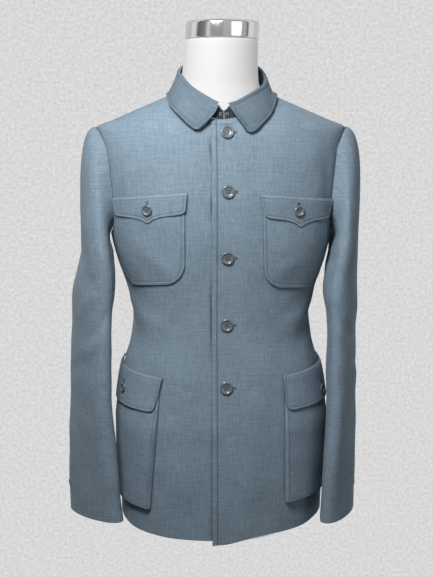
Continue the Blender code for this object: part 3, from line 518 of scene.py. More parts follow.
def noiseNode(tree, vector, scale, detail=2.0, stretch=(1, 1, 1)):
    shift = tree.nodes.new('ShaderNodeMapping')
    shift.inputs['Scale'].default_value = tuple(scale * k for k in stretch)
    tree.links.new(vector, shift.inputs['Vector'])
    node = tree.nodes.new('ShaderNodeTexNoise')
    node.inputs['Scale'].default_value = 1.0
    node.inputs['Detail'].default_value = detail
    tree.links.new(shift.outputs[0], node.inputs['Vector'])
    return node.outputs['Fac']


def times(tree, a, b):
    return mathNode(tree, 'MULTIPLY', a, b)


def plus(tree, a, b, clamp=False):
    return mathNode(tree, 'ADD', a, b, clamp)


def minus(tree, a, b):
    return mathNode(tree, 'SUBTRACT', a, b)


# The colour sockets of a Mix node: 6 and 7 go in, 2 comes out.
def mixColours(tree, factor, a, b):
    node = tree.nodes.new('ShaderNodeMix')
    node.data_type = 'RGBA'
    tree.links.new(factor, node.inputs['Factor'])
    for socket, value in ((6, a), (7, b)):
        if isinstance(value, tuple):
            node.inputs[socket].default_value = (*value, 1.0)
        else:
            tree.links.new(value, node.inputs[socket])
    return node.outputs[2]


# Worsted weave: crossed threads with slubs along both, grain, soft cloudy patches, and painted
# shade, a near black mixed in as the mask says. A slub is long along its thread and short
# across it. Scales are per metre.
weaveLook = {"slub": (950, 70), "wideSlub": (330, 28), "wideShare": 0.8, "middle": 1.8,
             "cloud": 16.0, "grain": 260.0, "grainShare": 0.25, "checkShare": 0.22,
             "threadUp": 0.5, "slubUp": 0.35, "rough": 0.78, "roughSpread": 0.2,
             "paintedShade": (0.006, 0.012, 0.02)}


def makeWeave(look=weaveLook):
    made, start, end = group("woolWeave",
                             [("Dark Yarn", 'NodeSocketColor', (0.1, 0.1, 0.1, 1)),
                              ("Light Yarn", 'NodeSocketColor', (0.2, 0.2, 0.2, 1)),
                              ("Threads", 'NodeSocketFloat', 1700.0),
                              ("Slub", 'NodeSocketFloat', 0.5),
                              ("Cloud", 'NodeSocketFloat', 0.3),
                              ("PaintedShade", 'NodeSocketFloat', 0.0)],
                             [("Color", 'NodeSocketColor'), ("Height", 'NodeSocketFloat'),
                              ("Roughness", 'NodeSocketFloat')])
    uv = made.nodes.new('ShaderNodeUVMap')
    uv.uv_map = "UVMap"
    flat = uv.outputs[0]
    split = made.nodes.new('ShaderNodeSeparateXYZ')
    made.links.new(flat, split.inputs[0])
    threads = start.outputs["Threads"]
    across = mathNode(made, 'SINE', times(made, times(made, split.outputs[0], threads), math.pi))
    along = mathNode(made, 'SINE', times(made, times(made, split.outputs[1], threads), math.pi))
    checker = times(made, across, along)
    weave = plus(made, times(made, checker, 0.5), 0.5)
    (thin, long), (wideThin, wideLong) = look["slub"], look["wideSlub"]
    warp = noiseNode(made, flat, 1.0, 3.0, (thin, long, 1))
    weft = noiseNode(made, flat, 1.0, 3.0, (long, thin, 1))
    wideWarp = noiseNode(made, flat, 1.0, 2.0, (wideThin, wideLong, 1))
    wideWeft = noiseNode(made, flat, 1.0, 2.0, (wideLong, wideThin, 1))
    fine = plus(made, warp, weft)
    wide = plus(made, wideWarp, wideWeft)
    slub = minus(made, plus(made, fine, times(made, wide, look["wideShare"])), look["middle"])
    cloud = minus(made, noiseNode(made, flat, look["cloud"], 3.0), 0.5)
    grain = minus(made, noiseNode(made, flat, look["grain"], 2.0), 0.5)
    factor = plus(made, 0.5, times(made, slub, start.outputs["Slub"]))
    factor = plus(made, factor, times(made, cloud, start.outputs["Cloud"]))
    factor = plus(made, factor, times(made, grain, look["grainShare"]))
    factor = plus(made, factor, times(made, minus(made, weave, 0.5), look["checkShare"]), clamp=True)
    colour = mixColours(made, factor, start.outputs["Dark Yarn"], start.outputs["Light Yarn"])
    # Painted shade: the colour is mixed towards near black as far as the mask says.
    colour = mixColours(made, start.outputs["PaintedShade"], colour, look["paintedShade"])
    height = plus(made, times(made, weave, look["threadUp"]), times(made, fine, look["slubUp"]))
    rough = plus(made, look["rough"], times(made, grain, look["roughSpread"]))
    made.links.new(colour, end.inputs["Color"])
    made.links.new(height, end.inputs["Height"])
    made.links.new(rough, end.inputs["Roughness"])
    return made


def newMaterial(name):
    made = bpy.data.materials.new(name)
    made.use_nodes = True
    return made, made.node_tree, made.node_tree.nodes["Principled BSDF"]


def addBump(tree, shader, height, distance):
    bump = tree.nodes.new('ShaderNodeBump')
    bump.inputs['Distance'].default_value = distance
    bump.inputs['Strength'].default_value = 1.0
    tree.links.new(height, bump.inputs['Height'])
    tree.links.new(bump.outputs[0], shader.inputs['Normal'])


woolLook = {"dark": (0.074, 0.109, 0.142), "light": (0.215, 0.285, 0.345), "threads": 1900.0,
            "slub": 0.62, "cloud": 0.35, "bump": 0.00016, "sheen": 0.05, "sheenRough": 0.45,
            "sheenTint": (0.75, 0.85, 1.0), "specular": 0.25}
weaveGroup = makeWeave()


def makeWool(name, look=woolLook):
    made, tree, shader = newMaterial(name)
    weave = tree.nodes.new('ShaderNodeGroup')
    weave.node_tree = weaveGroup
    for label, value in (("Dark Yarn", (*look["dark"], 1)), ("Light Yarn", (*look["light"], 1)),
                         ("Threads", look["threads"]), ("Slub", look["slub"]),
                         ("Cloud", look["cloud"])):
        weave.inputs[label].default_value = value
    # Painted shade: the darkening mask painted on each sheet.
    paintedShade = tree.nodes.new('ShaderNodeAttribute')
    paintedShade.attribute_name = "paintedShade"
    tree.links.new(paintedShade.outputs['Fac'], weave.inputs["PaintedShade"])
    tree.links.new(weave.outputs["Color"], shader.inputs["Base Color"])
    tree.links.new(weave.outputs["Roughness"], shader.inputs["Roughness"])
    addBump(tree, shader, weave.outputs["Height"], look["bump"])
    shader.inputs["Sheen Weight"].default_value = look["sheen"]
    shader.inputs["Sheen Roughness"].default_value = look["sheenRough"]
    shader.inputs["Sheen Tint"].default_value = (*look["sheenTint"], 1)
    shader.inputs["Specular IOR Level"].default_value = look["specular"]
    return made


speckle = {"detail": 4.0, "roughSpread": 0.1}


def makeSpeckled(name, dark, light, scale, roughness, bump=0.0, metallic=0.0, coat=0.0):
    made, tree, shader = newMaterial(name)
    where = tree.nodes.new('ShaderNodeTexCoord')
    spots = noiseNode(tree, where.outputs['Object'], scale, speckle["detail"])
    colour = mixColours(tree, spots, dark, light)
    tree.links.new(colour, shader.inputs["Base Color"])
    spread = speckle["roughSpread"]
    rough = plus(tree, roughness - spread / 2, times(tree, spots, spread))
    tree.links.new(rough, shader.inputs["Roughness"])
    shader.inputs["Metallic"].default_value = metallic
    shader.inputs["Coat Weight"].default_value = coat
    if bump:
        addBump(tree, shader, spots, bump)
    return made


wool = makeWool("wool")
thread = makeSpeckled("thread", (0.05, 0.08, 0.11), (0.13, 0.18, 0.23), 3000, 0.6)
# Near black thread for the buttons and the bars, also laid in the buttonhole slits as painted shade.
darkThreadAndSlitShade = makeSpeckled("darkThreadAndSlitShade", (0.012, 0.02, 0.03), (0.03, 0.045, 0.06), 3000, 0.7)
horn = makeSpeckled("horn", (0.045, 0.06, 0.075), (0.13, 0.155, 0.178), 260, 0.24, coat=0.3)
jersey = makeSpeckled("jersey", (0.25, 0.252, 0.25), (0.29, 0.292, 0.29), 900, 0.75, bump=0.0001)
# Painted light: the jersey glows a little, which evens out the light and shade on the form.
jerseyPaintedLight = {"Emission Color": (1, 1, 0.985, 1), "Emission Strength": 0.3}
for label, value in jerseyPaintedLight.items():
    jersey.node_tree.nodes["Principled BSDF"].inputs[label].default_value = value
chrome = makeSpeckled("chrome", (0.62, 0.62, 0.63), (0.78, 0.78, 0.79), 40, 0.1, metallic=1.0)
steel = makeSpeckled("steel", (0.16, 0.17, 0.18), (0.26, 0.27, 0.28), 800, 0.4, metallic=1.0)
print("materials made")


# Fronts: the lapped edge has a topstitched ridge, and the seams dip a little. The shades are
# painted on: a strength, then places and widths in mm, but "pitSide" is a range of q, round
# the side. "farIn" is any place far from a seam.
front = {"across": ([0, 0.7, 1.6, 3.2, 5.4, 7.4, 8.5, 9.1, 9.7, 10.8, 13, 17], 46,
                    [0, 0.9, 2.2, 4.5, 9]),
         "hemRows": [0, 0.8, 2, 4, 8], "bodyRows": 96, "upperRows": 46, "edgePull": 1.6,
         "stitchIn": 9.1, "groove": 0.55, "grooveWidth": 0.9, "roll": 0.35, "rollIn": 4.5,
         "rollWidth": 3.2, "pitDip": 14.0, "pitDipPower": 6, "farIn": 20,
         "stitchShade": (0.6, 0.9), "lapShade": (0.7, 0.1, 1.1), "throatShade": (0.5, 6.6, 1.2),
         "throatReach": 12, "pitShade": 0.8, "pitSide": (0.9, 0.98), "pitRise": (440, 500),
         "pitFade": (600, 640)}
ringTop = [-115 + 230 * i / 12 for i in range(13)]
ringUnder = [115 + 130 * i / 8 for i in range(9)]
armholeAngles = [a for a in ringTop if a >= 0] + ringUnder[1:5]


def listAt(values, at):
    k = min(int(at), len(values) - 2)
    return values[k] + (values[k + 1] - values[k]) * (at - k)


def lapLift(s, side):
    return side * cloth["lapLift"] * (1 - ease(abs(s), cloth["placket"],
                                               cloth["placket"] + cloth["lapFade"]))


def arcLine(points):
    places = [chart(q, z) for q, z in points]
    lengths = [0.0]
    for a, b in zip(places, places[1:]):
        lengths.append(lengths[-1] + (b - a).length)

    def at(distance):
        k = min(max(bisect_right(lengths, distance) - 1, 0), len(points) - 2)
        share = (distance - lengths[k]) / (lengths[k + 1] - lengths[k])
        (q1, z1), (q2, z2) = points[k], points[k + 1]
        return (q1 + (q2 - q1) * share, z1 + (z2 - z1) * share)
    return at, lengths[-1]


def shoulderLine(count):
    neckZ = neckline(90)[1]
    return [(1.0, neckZ + (shoulderPointZ - neckZ) * i / count) for i in range(1, count + 1)]


def coons(bottom, top, left, right, u, v, c):
    point = []
    for k in (0, 1):
        ends = (1 - v) * bottom[c][k] + v * top[c][k]
        sides = (1 - u) * left[k] + u * right[k]
        corners = ((1 - u) * (1 - v) * bottom[0][k] + u * (1 - v) * bottom[-1][k]
                   + (1 - u) * v * top[0][k] + u * v * top[-1][k])
        point.append(ends + sides - corners)
    return tuple(point)


def frontCharts(side):
    past = cloth["overlap"] if side > 0 else cloth["underlap"]
    along, last = spacing(*front["across"])
    hem = hemLeftTable if side > 0 else hemRightTable
    halfSeam = 0.5 * cloth["seam"]
    pitTotal = sideReach(pitZ) - halfSeam + past

    def pitHeight(c):
        return pitZ - front["pitDip"] * (1 - (along(pitTotal, c) / pitTotal) ** front["pitDipPower"])

    rows, steps = [], list(front["hemRows"])
    count = front["bodyRows"]
    for r in range(len(steps) + count):
        line = []
        for c in range(last + 1):
            top = pitHeight(c)
            share = along(pitTotal, c) / pitTotal
            low = smooth(hem, -past / frontLength(hemZ)
                         + share * (past + sideReach(hemZ)) / frontLength(hemZ))
            if r < len(steps):
                z = low + steps[r]
            else:
                k = (r - len(steps) + 1) / count
                z = low + steps[-1] + (top - low - steps[-1]) * k
            total = sideReach(z) - halfSeam + past
            line.append((along(total, c) - past, z))
        rows.append(line)
    rows = [[(s / frontLength(z) if s < 0 else chartAt(s, z), z) for s, z in line] for line in rows]
    bottom = rows[-1]
    edge = [(-past / frontLength(neck["dropZ"]), neck["dropZ"])]
    edge += [neckline(a) for a in range(0, 91, 3)] + shoulderLine(24)
    topAt, topTotal = arcLine(edge)
    top = [topAt(along(topTotal, c)) for c in range(last + 1)]
    shares = [along(pitTotal, c) / pitTotal for c in range(last + 1)]
    for r in range(1, front["upperRows"] + 1):
        v = r / front["upperRows"]
        angle = listAt(list(reversed(armholeAngles)), v * (len(armholeAngles) - 1))
        z = bottom[0][1] + (neck["dropZ"] - bottom[0][1]) * (1 - (1 - v) ** front["edgePull"])
        left = (-past / frontLength(z), z)
        rows.append([coons(bottom, top, left, armhole(angle), shares[c], v, c)
                     for c in range(last + 1)])
    return rows, last


def runOf(q, z):
    return q * frontLength(z) if q <= 1 else frontLength(z) + (q - 1) * backLength(z)


def seamDip(fromSeam):
    return cloth["seamDip"] * (1 - ease(fromSeam, 0, cloth["seamFade"]))


def makeFront(name, side, node):
    rows, last = frontCharts(side)
    past = cloth["overlap"] if side > 0 else cloth["underlap"]
    nearSeam = front["across"][2]

    def place(c, r):
        q, z = rows[r][c]
        s = runOf(q, z)
        fromEdge = s + past
        fromSeam = nearSeam[last - c] if last - c < len(nearSeam) else front["farIn"]
        relief = -front["groove"] * bell(fromEdge, front["stitchIn"], front["grooveWidth"])
        relief += front["roll"] * bell(fromEdge, front["rollIn"], front["rollWidth"])
        relief -= seamDip(fromSeam) if r < len(rows) - 2 else 0
        return onCloth(side, s, z, lapLift(s, side) + relief)

    def flatPlace(c, r):
        q, z = rows[r][c]
        return (side * runOf(q, z), z)

    # Painted shade: darker in the topstitch groove, on the right front beside the left front's edge, below
    # the throat, and near the side under the arm.
    def paintedShadeAt(c, r):
        q, z = rows[r][c]
        s = runOf(q, z)
        shade, width = front["stitchShade"]
        dark = shade * bell(s + past, front["stitchIn"], width)
        if side < 0:
            shade, out, width = front["lapShade"]
            dark = shade * bell(s, cloth["overlap"] + out, width)
        elif s < front["throatReach"]:
            shade, down, width = front["throatShade"]
            dark = max(dark, shade * bell(z, neck["dropZ"] - down, width))
        pit = front["pitShade"] * ease(q, *front["pitSide"]) * ease(z, *front["pitRise"])
        return max(dark, pit * (1 - ease(z, *front["pitFade"])))

    piece = makeSheet(name, last, len(rows) - 1, place, flatPlace, Vector((0, -1, 0)), paintedShadeAt)
    dress(piece, wool, "wool", node)


makeFront("frontLeft", 1, "front_left")
makeFront("frontRight", -1, "front_right")


# Back: one plain panel, hung from the shoulder seams.
backPanel = {"across": ([0, 0.9, 2.2, 4.5, 9], 84, [0, 0.9, 2.2, 4.5, 9]),
             "hemRows": [0, 0.8, 2, 4, 8], "bodyRows": 84, "upperRows": 44,
             "foldFade": 20, "ripple": (55, 0.8)}
# Soft folds of the back: across from the centre, z, to across, z, half width, height.
backFolds = [
    (1, 150, 520, 60, 440, 34, 2.2), (1, 190, 470, 110, 395, 26, -2.0), (1, 60, 400, 40, 120, 40, 2.2),
    (1, 120, 360, 140, 60, 34, -2.0), (1, 170, 690, 120, 560, 30, -1.8), (1, 20, 430, 95, 405, 18, 1.3),
    (-1, 140, 540, 50, 450, 30, 2.4), (-1, 185, 455, 95, 385, 28, -2.2), (-1, 75, 380, 62, 90, 38, 2.0),
    (-1, 130, 340, 150, 70, 30, -1.8), (-1, 165, 680, 130, 570, 26, -1.6), (-1, 30, 415, 110, 392, 16, 1.2),
]


def backHem(q):
    side = hemLeftTable if q < 2 else hemRightTable
    return backHemZ + (smooth(side, 1.0) - backHemZ) * min(abs(2 - q), 1.0) ** 2


def backCharts():
    along, last = spacing(*backPanel["across"])
    halfSeam = 0.5 * cloth["seam"]

    def qAt(z, c):
        start = 1 + (smooth(sideSeamTable, z) + halfSeam) / backLength(z)
        total = 2 * (2 - start) * backLength(z)
        return start + along(total, c) / backLength(z)

    steps, count = list(backPanel["hemRows"]), backPanel["bodyRows"]
    rows = []
    for r in range(len(steps) + count):
        line = []
        for c in range(last + 1):
            low = backHem(qAt(hemZ, c))
            if r < len(steps):
                z = low + steps[r]
            else:
                z = low + steps[-1] + (pitZ - low - steps[-1]) * (r - len(steps) + 1) / count
            line.append((qAt(z, c), z))
        rows.append(line)
    bottom = rows[-1]
    half = list(reversed(shoulderLine(24))) + [neckline(a) for a in range(90, 181, 3)]
    edge = half + [(4 - q, z) for q, z in reversed(half[:-1])]
    topAt, topTotal = arcLine(edge)
    top = [topAt(along(topTotal, c)) for c in range(last + 1)]
    pitTotal = 2 * (2 - bottom[0][0]) * backLength(pitZ)
    shares = [along(pitTotal, c) / pitTotal for c in range(last + 1)]
    for r in range(1, backPanel["upperRows"] + 1):
        v = r / backPanel["upperRows"]
        angle = listAt(list(reversed(armholeAngles)), v * (len(armholeAngles) - 1))
        q, z = armhole(360 - angle)
        rows.append([coons(bottom, top, (q, z), (4 - q, z), shares[c], v, c)
                     for c in range(last + 1)])
    return rows, last


def makeBack():
    rows, last = backCharts()
    nearSeam = backPanel["across"][0]

    def place(c, r):
        q, z = rows[r][c]
        near = min(c, last - c)
        fromSeam = nearSeam[near] if near < len(nearSeam) else backPanel["foldFade"]
        side = 1 if q < 2 else -1
        s = abs(2 - q) * backLength(z)
        relief = foldHeight(backFolds, side, s, z) * ease(fromSeam, 0, backPanel["foldFade"])
        relief -= seamDip(fromSeam) if r < len(rows) - 2 else 0
        base = chart(q, z)
        edgeFold = 0.0
        if min(q, 4 - q) < cloth["foldEnd"]:
            edgeFold = foldHeight(foldTable, side, (q if q < 2 else 4 - q) * frontLength(z), z)
        return base + normalOf(q, z) * (relief + edgeFold + ripple(base, *backPanel["ripple"]))

    def flatPlace(c, r):
        q, z = rows[r][c]
        return ((q - 2) * backLength(z), z)

    piece = makeSheet("backPanel", last, len(rows) - 1, place, flatPlace, Vector((0, 1, 0)))
    dress(piece, wool, "wool", "back")


makeBack()
print("body sewn")


# Sleeves: rings below the arm pit, blended up to the armhole seam.
sleeve = {"seamAngle": 0.26, "edges": [0.9, 2.2, 4.5], "edgeIn": 6.5, "columnStep": 3.2,
          "headRows": 26, "ringStep": 4.2, "crowd": 1.35, "cuffIn": 8, "cuffRows": (4, 2, 0.8, 0),
          "seamStep": 4, "seamOut": 0.5, "seamLift": (0.15, 0.75),
          "leaveTop": (112, 12), "leavePit": (22, -25), "leaveSide": -52, "arrive": 1.05,
          "ripple": (48, 0.9), "rippleFrom": 400, "reliefRows": (0, 7), "flat": 0.62,
          "seamDip": 0.7, "dipColumns": (0, 4), "dipRows": (1, 5), "seamShade": 0.45,
          "pitShade": 0.75, "pitRise": (430, 500), "pitTurn": (170, 205)}
# Folds of a sleeve: side, angle z, to angle z, half width in mm, height.
sleeveFolds = [
    (1, 60, 470, -10, 400, 20, 0.8), (1, 95, 430, 35, 372, 16, -1.5), (1, 100, 395, 20, 340, 18, 1.8),
    (1, 40, 340, -40, 300, 20, -1.6), (1, 20, 620, 60, 480, 26, 1.2), (1, -30, 640, -60, 470, 26, 1.5),
    (1, 110, 520, 70, 560, 16, -1.6), (1, 70, 300, 66, 90, 24, 1.4), (1, -20, 250, -30, 80, 30, 1.5),
    (1, 20, 280, 24, 70, 26, -1.2), (1, 45, 690, 62, 560, 12, -0.9),
    (-1, 62, 455, 0, 395, 20, 2.0), (-1, 98, 420, 40, 366, 16, -1.8), (-1, 90, 380, 10, 330, 20, 1.9),
    (-1, 40, 330, -36, 292, 20, -1.5), (-1, 18, 610, 58, 470, 26, 1.7), (-1, -32, 630, -64, 460, 26, 1.5),
    (-1, 108, 515, 68, 556, 16, -1.5), (-1, 66, 280, 60, 80, 24, 1.3), (-1, -24, 240, -34, 70, 30, 1.4),
    (-1, 24, 270, 20, 60, 26, -1.1), (-1, 47, 690, 60, 560, 12, -0.8),
    (1, 170, 480, 215, 420, 20, -1.8), (-1, 172, 470, 212, 412, 20, -1.8),
    (1, 250, 420, 300, 380, 20, 1.8), (-1, 252, 412, 300, 372, 20, 1.8),
]


def ringPoint(table, z, angle):
    x, y, halfLong, halfShort, turn = (smooth(table, z, c) for c in range(1, 6))
    a, t = math.radians(angle), math.radians(turn)
    out, forward = halfShort * math.cos(a), halfLong * math.sin(a)
    return Vector((x + out * math.cos(t) - forward * math.sin(t),
                   y - out * math.sin(t) - forward * math.cos(t), z))


def sleeveHead(table, angle, share):
    q, z = armhole(angle % 360)
    seam, normal = chart(q, z), normalOf(q, z)
    step, lift = sleeve["seamStep"], sleeve["seamLift"]
    ahead = chart(*armhole((angle + step) % 360)) - chart(*armhole((angle - step) % 360))
    outward = normal.cross(ahead).normalized()
    low = 0.5 - 0.5 * math.cos(math.radians(angle))
    start = seam + outward * sleeve["seamOut"] + normal * (lift[0] + lift[1] * low)
    end = ringPoint(table, table[-1][0], angle)
    forward = math.sin(math.radians(angle))
    out, up = (a * (1 - low) + b * low for a, b in zip(sleeve["leaveTop"], sleeve["leavePit"]))
    leave = Vector((out, sleeve["leaveSide"] * forward, up))
    arrive = Vector((0, 0, -(start - end).length * sleeve["arrive"]))
    t = share
    return ((2 * t ** 3 - 3 * t ** 2 + 1) * start + (t ** 3 - 2 * t ** 2 + t) * leave
            + (3 * t ** 2 - 2 * t ** 3) * end + (t ** 3 - t ** 2) * arrive)


def sleeveFold(side, angle, z):
    height = 0.0
    for rowSide, a1, z1, a2, z2, halfWidth, rowHeight in sleeveFolds:
        if rowSide == side:
            turn = (angle - a1 + 180) % 360 - 180
            height += foldRise(Vector((a2 - a1, z2 - z1)), Vector((turn, z - z1)),
                               halfWidth, rowHeight)
    return height


def makeSleeve(name, side, angles, node):
    table = sleeveLeftTable if side > 0 else sleeveRightTable
    first, final = angles[0], angles[-1]
    span, edgeIn = final - first, sleeve["edgeIn"]
    count = int(span / sleeve["columnStep"])
    columns = [first + sleeve["seamAngle"]] + [first + e for e in sleeve["edges"]]
    columns += [first + edgeIn + (span - 2 * edgeIn) * i / count for i in range(count + 1)]
    columns += [final - e for e in reversed(sleeve["edges"])] + [final - sleeve["seamAngle"]]
    heads = [(i / sleeve["headRows"]) ** sleeve["crowd"] for i in range(sleeve["headRows"])]
    topZ, cuffZ = table[-1][0], table[0][0]
    drop = topZ - cuffZ - sleeve["cuffIn"]
    levels = int(drop / sleeve["ringStep"])
    zs = [topZ - drop * i / levels for i in range(levels + 1)]
    zs += [cuffZ + e for e in sleeve["cuffRows"]]
    last = len(heads) + len(zs) - 1

    def base(angle, r):
        if r < len(heads):
            return sleeveHead(table, angle, heads[r])
        return ringPoint(table, zs[r - len(heads)], angle)

    def place(c, r):
        angle = columns[c]
        r = last - r
        point = base(angle, r)
        across = base(angle + 2, r) - base(angle - 2, r)
        down = base(angle, min(r + 1, last)) - base(angle, max(r - 1, 0))
        normal = across.cross(down).normalized()
        relief = sleeveFold(side, angle, point.z)
        relief += ripple(point + Vector((side * sleeve["rippleFrom"], 0, 0)), *sleeve["ripple"])
        relief *= ease(r, *sleeve["reliefRows"])
        near = min(c, len(columns) - 1 - c)
        relief -= (sleeve["seamDip"] * (1 - ease(near, *sleeve["dipColumns"]))
                   * ease(r, *sleeve["dipRows"]))
        point = point + normal * relief
        if side < 0:
            point.x = -point.x
        return point

    def flatPlace(c, r):
        point = base(columns[c], last - r)
        widthHere = smooth(table, min(max(point.z, cuffZ), topZ), 3)
        return (columns[c] * math.pi / 180 * sleeve["flat"] * widthHere * side, point.z)

    # Painted shade: darker high up near the arm pit on the side that faces the body, and along the seams.
    def paintedShadeAt(c, r):
        near = min(c, len(columns) - 1 - c)
        z = base(columns[c], last - r).z
        pit = sleeve["pitShade"] * ease(z, *sleeve["pitRise"]) * ease(columns[c], *sleeve["pitTurn"])
        return max(pit, sleeve["seamShade"] * (near < 2))

    outward = Vector((side, -0.2, 0)) if first < 0 else Vector((-side, 0.6, 0))
    piece = makeSheet(name, len(columns) - 1, last, place, flatPlace, outward, paintedShadeAt)
    dress(piece, wool, "wool", node)


makeSleeve("sleeveLeftTop", 1, ringTop, "sleeve_left_top")
makeSleeve("sleeveLeftUnder", 1, ringUnder, "sleeve_left_under")
makeSleeve("sleeveRightTop", -1, ringTop, "sleeve_right_top")
makeSleeve("sleeveRightUnder", -1, ringUnder, "sleeve_right_under")
print("sleeves set in")


# Collar: a stand round the neck, and the fall turned down over it.
collar = {"insideRoll": 3.9, "belowRoll": 3.0, "throatZ": 757.0, "hollow": 2.0,
          "aboveSeam": 1.0, "fullness": (4.0, -1.0), "clear": (4.6, 3.2), "fade": (30, 75),
          "stitchIn": 5.0, "groove": 0.45, "grooveWidth": 1.0, "rim": (0.25, 2.2, 1.6),
          "standShade": 0.95, "shade": {1: 0.46, -1: 0.34}, "shadeFrom": 0.1,
          "stitchShade": (0.3, 1.0), "rimShade": (0.3, 1.2)}
leafBow = {1: 1.8, -1: 5.5}  # the front edge of each leaf bows out by this
rollProfile = [(-4.6, -0.9), (-3.7, -0.1), (-2.6, 0.1), (-1.5, -0.3), (-0.8, -1.4),
               (-0.3, -3.0), (0.0, -5.0)]


def halfTurn(angle):
    return (1, angle) if angle <= 180 else (-1, 360 - angle)


def collarRow(side, angle, first):
    table = collarLeftTable if side > 0 else collarRightTable
    x, y, z = (smooth(table, angle, c) for c in range(first, first + 3))
    return Vector((side * x, y, z))


def rollPoint(angle):
    side, angle = halfTurn(angle)
    first = collarLeftTable[0][0]
    point = collarRow(side, max(angle, first), 1)
    if angle < first:
        share = angle / first
        point.x *= share
        point.z = collar["throatZ"] + (point.z - collar["throatZ"]) * share ** 1.5
        point.y -= 0.6 * (1 - share)
    return point


def awayFromNeck(angle):
    turn = math.radians(angle)
    return Vector((math.sin(turn), -math.cos(turn), 0))


def standLow(angle):
    side, half = halfTurn(angle)
    q, z = neckline(half)
    seam = chart(q, z)
    return Vector((side * seam.x, seam.y, max(seam.z, neck["dropZ"]) + collar["aboveSeam"]))


def standHigh(angle):
    below = collar["belowRoll"] * min(halfTurn(angle)[1] / collarLeftTable[0][0], 1.0)
    return rollPoint(angle) - awayFromNeck(angle) * collar["insideRoll"] - Vector((0, 0, below))


def standPoint(angle, share):
    hollow = collar["hollow"] * (1 - abs(2 * share - 1))
    return standLow(angle).lerp(standHigh(angle), share) - awayFromNeck(angle) * hollow


def makeStand():
    columns = [0.35, 0.9, 1.8, 3.2, 5, 7] + [9 + 171 * i / 62 for i in range(63)]
    columns += [360 - a for a in reversed(columns[:-1])]
    rows = 16

    def place(c, r):
        return standPoint(columns[c], r / rows)

    def flatPlace(c, r):
        return (columns[c] * 1.45, 800 + 30 * r / rows)

    # Painted shade: the whole stand is darkened nearly to black, the shade under the fall.
    def paintedShadeAt(c, r):
        return collar["standShade"]

    piece = makeSheet("collarStand", len(columns) - 1, rows, place, flatPlace,
                      Vector((0, 1, 0)), paintedShadeAt)
    dress(piece, wool, "wool", "collar_stand")


def fallPoint(angle, v):
    side, half = halfTurn(angle)
    roll, out = rollPoint(angle), awayFromNeck(angle)
    turns = len(rollProfile) - 1
    if v < 0:
        step = listAt([Vector(p) for p in rollProfile], (1 + v) * turns)
        return roll + out * step.x + Vector((0, 0, step.y))
    start = roll + out * rollProfile[-1][0] + Vector((0, 0, rollProfile[-1][1]))
    edge = collarRow(side, half, 4)
    fade = ease(half, *collar["fade"])
    fullness, clear = (a + (b - a) * fade for a, b in (collar["fullness"], collar["clear"]))
    point = start.lerp(edge, v) + out * fullness * math.sin(math.pi * v)
    point.x -= side * leafBow[side] * math.sin(math.pi * v ** 0.8) * (1 - ease(half, 7, 34))
    return pushOut(point, clear)


def makeFall():
    head = [7, 7.4, 8, 8.8, 9.8, 11, 12.4, 14, 16, 18.5, 21.5, 25, 29]
    columns = head + [33 + 147 * i / 62 for i in range(63)]
    columns += [360 - a for a in reversed(columns[:-1])]
    turns = len(rollProfile) - 1
    steps = [-1 + i / turns for i in range(turns)] + [i / 26 for i in range(24)]
    steps += [0.925, 0.955, 0.985, 1.0]
    lastColumn, lastRow = len(columns) - 1, len(steps) - 1
    grid = [[fallPoint(angle, v) for angle in columns] for v in steps]
    rim = [grid[r][0] for r in range(turns, lastRow + 1)] + grid[lastRow]
    rim += [grid[r][-1] for r in range(lastRow, turns - 1, -1)]

    def place(c, r):
        point = grid[r][c]
        angle = math.radians(columns[c])
        down = grid[min(r + 1, lastRow)][c] - grid[max(r - 1, 0)][c]
        normal = -Vector((math.cos(angle), math.sin(angle), 0)).cross(down).normalized()
        relief = 0.0
        if steps[r] > 0.3 or min(c, lastColumn - c) < len(head) + 1:
            away = min((point - p).length for p in rim)
            relief = -collar["groove"] * bell(away, collar["stitchIn"], collar["grooveWidth"])
            relief += collar["rim"][0] * bell(away, *collar["rim"][1:])
        return point + normal * relief

    def flatPlace(c, r):
        return (columns[c] * 1.5, 900 - (steps[r] + 1) * 30)

    # Painted shade: the roll and both leaves are darkened, the wearer's left leaf more than the right, and
    # more so in the stitch groove and at the rim.
    def paintedShadeAt(c, r):
        shade = collar["shade"][halfTurn(columns[c])[0]]
        if steps[r] < collar["shadeFrom"]:
            return shade
        away = min((grid[r][c] - p).length for p in rim)
        (stitchDark, stitchWidth), (rimDark, rimWidth) = collar["stitchShade"], collar["rimShade"]
        return (shade + stitchDark * bell(away, collar["stitchIn"], stitchWidth)
                + rimDark * bell(away, 0, rimWidth))

    piece = makeSheet("collarFall", lastColumn, lastRow, place, flatPlace,
                      Vector((0, 1, 0.2)), paintedShadeAt)
    dress(piece, wool, "wool", "collar_fall")


makeStand()
makeFall()
print("collar turned")


# Pockets: patches laid on the fronts, the lower two standing a little proud at their inner
# edge, and flaps that hang from a topstitched strip over them.
pocketLook = {"lift": 0.95, "gusset": 3.5, "proud": 5.5, "riseDown": (20, 100), "riseLeft": 0.15,
              "riseFade": 0.35, "stitchIn": 5.8, "groove": 0.45, "grooveWidth": 0.95,
              "edge": 0.3, "edgeIn": 3.6, "edgeWidth": 2.4, "puff": 1.2, "puffFade": (8, 42),
              "ripple": (34, 0.7), "rippleFrom": 90, "rippleFade": (4, 20), "step": 1.9 * 1.5,
              "shade": (0.35, 0.9),
              "edgeRows": [0, 0.8, 1.8, 3.2, 4.5, 5.3, 6.3, 7.4, 9.4, 11.5],
              "cornerRows": [0, 0.25, 0.7, 1.4, 2.3, 3.4, 4.5, 5.3, 6.3, 7.4, 8.8, 10.4, 12.5, 15.5,
                             19, 23, 28, 34]}
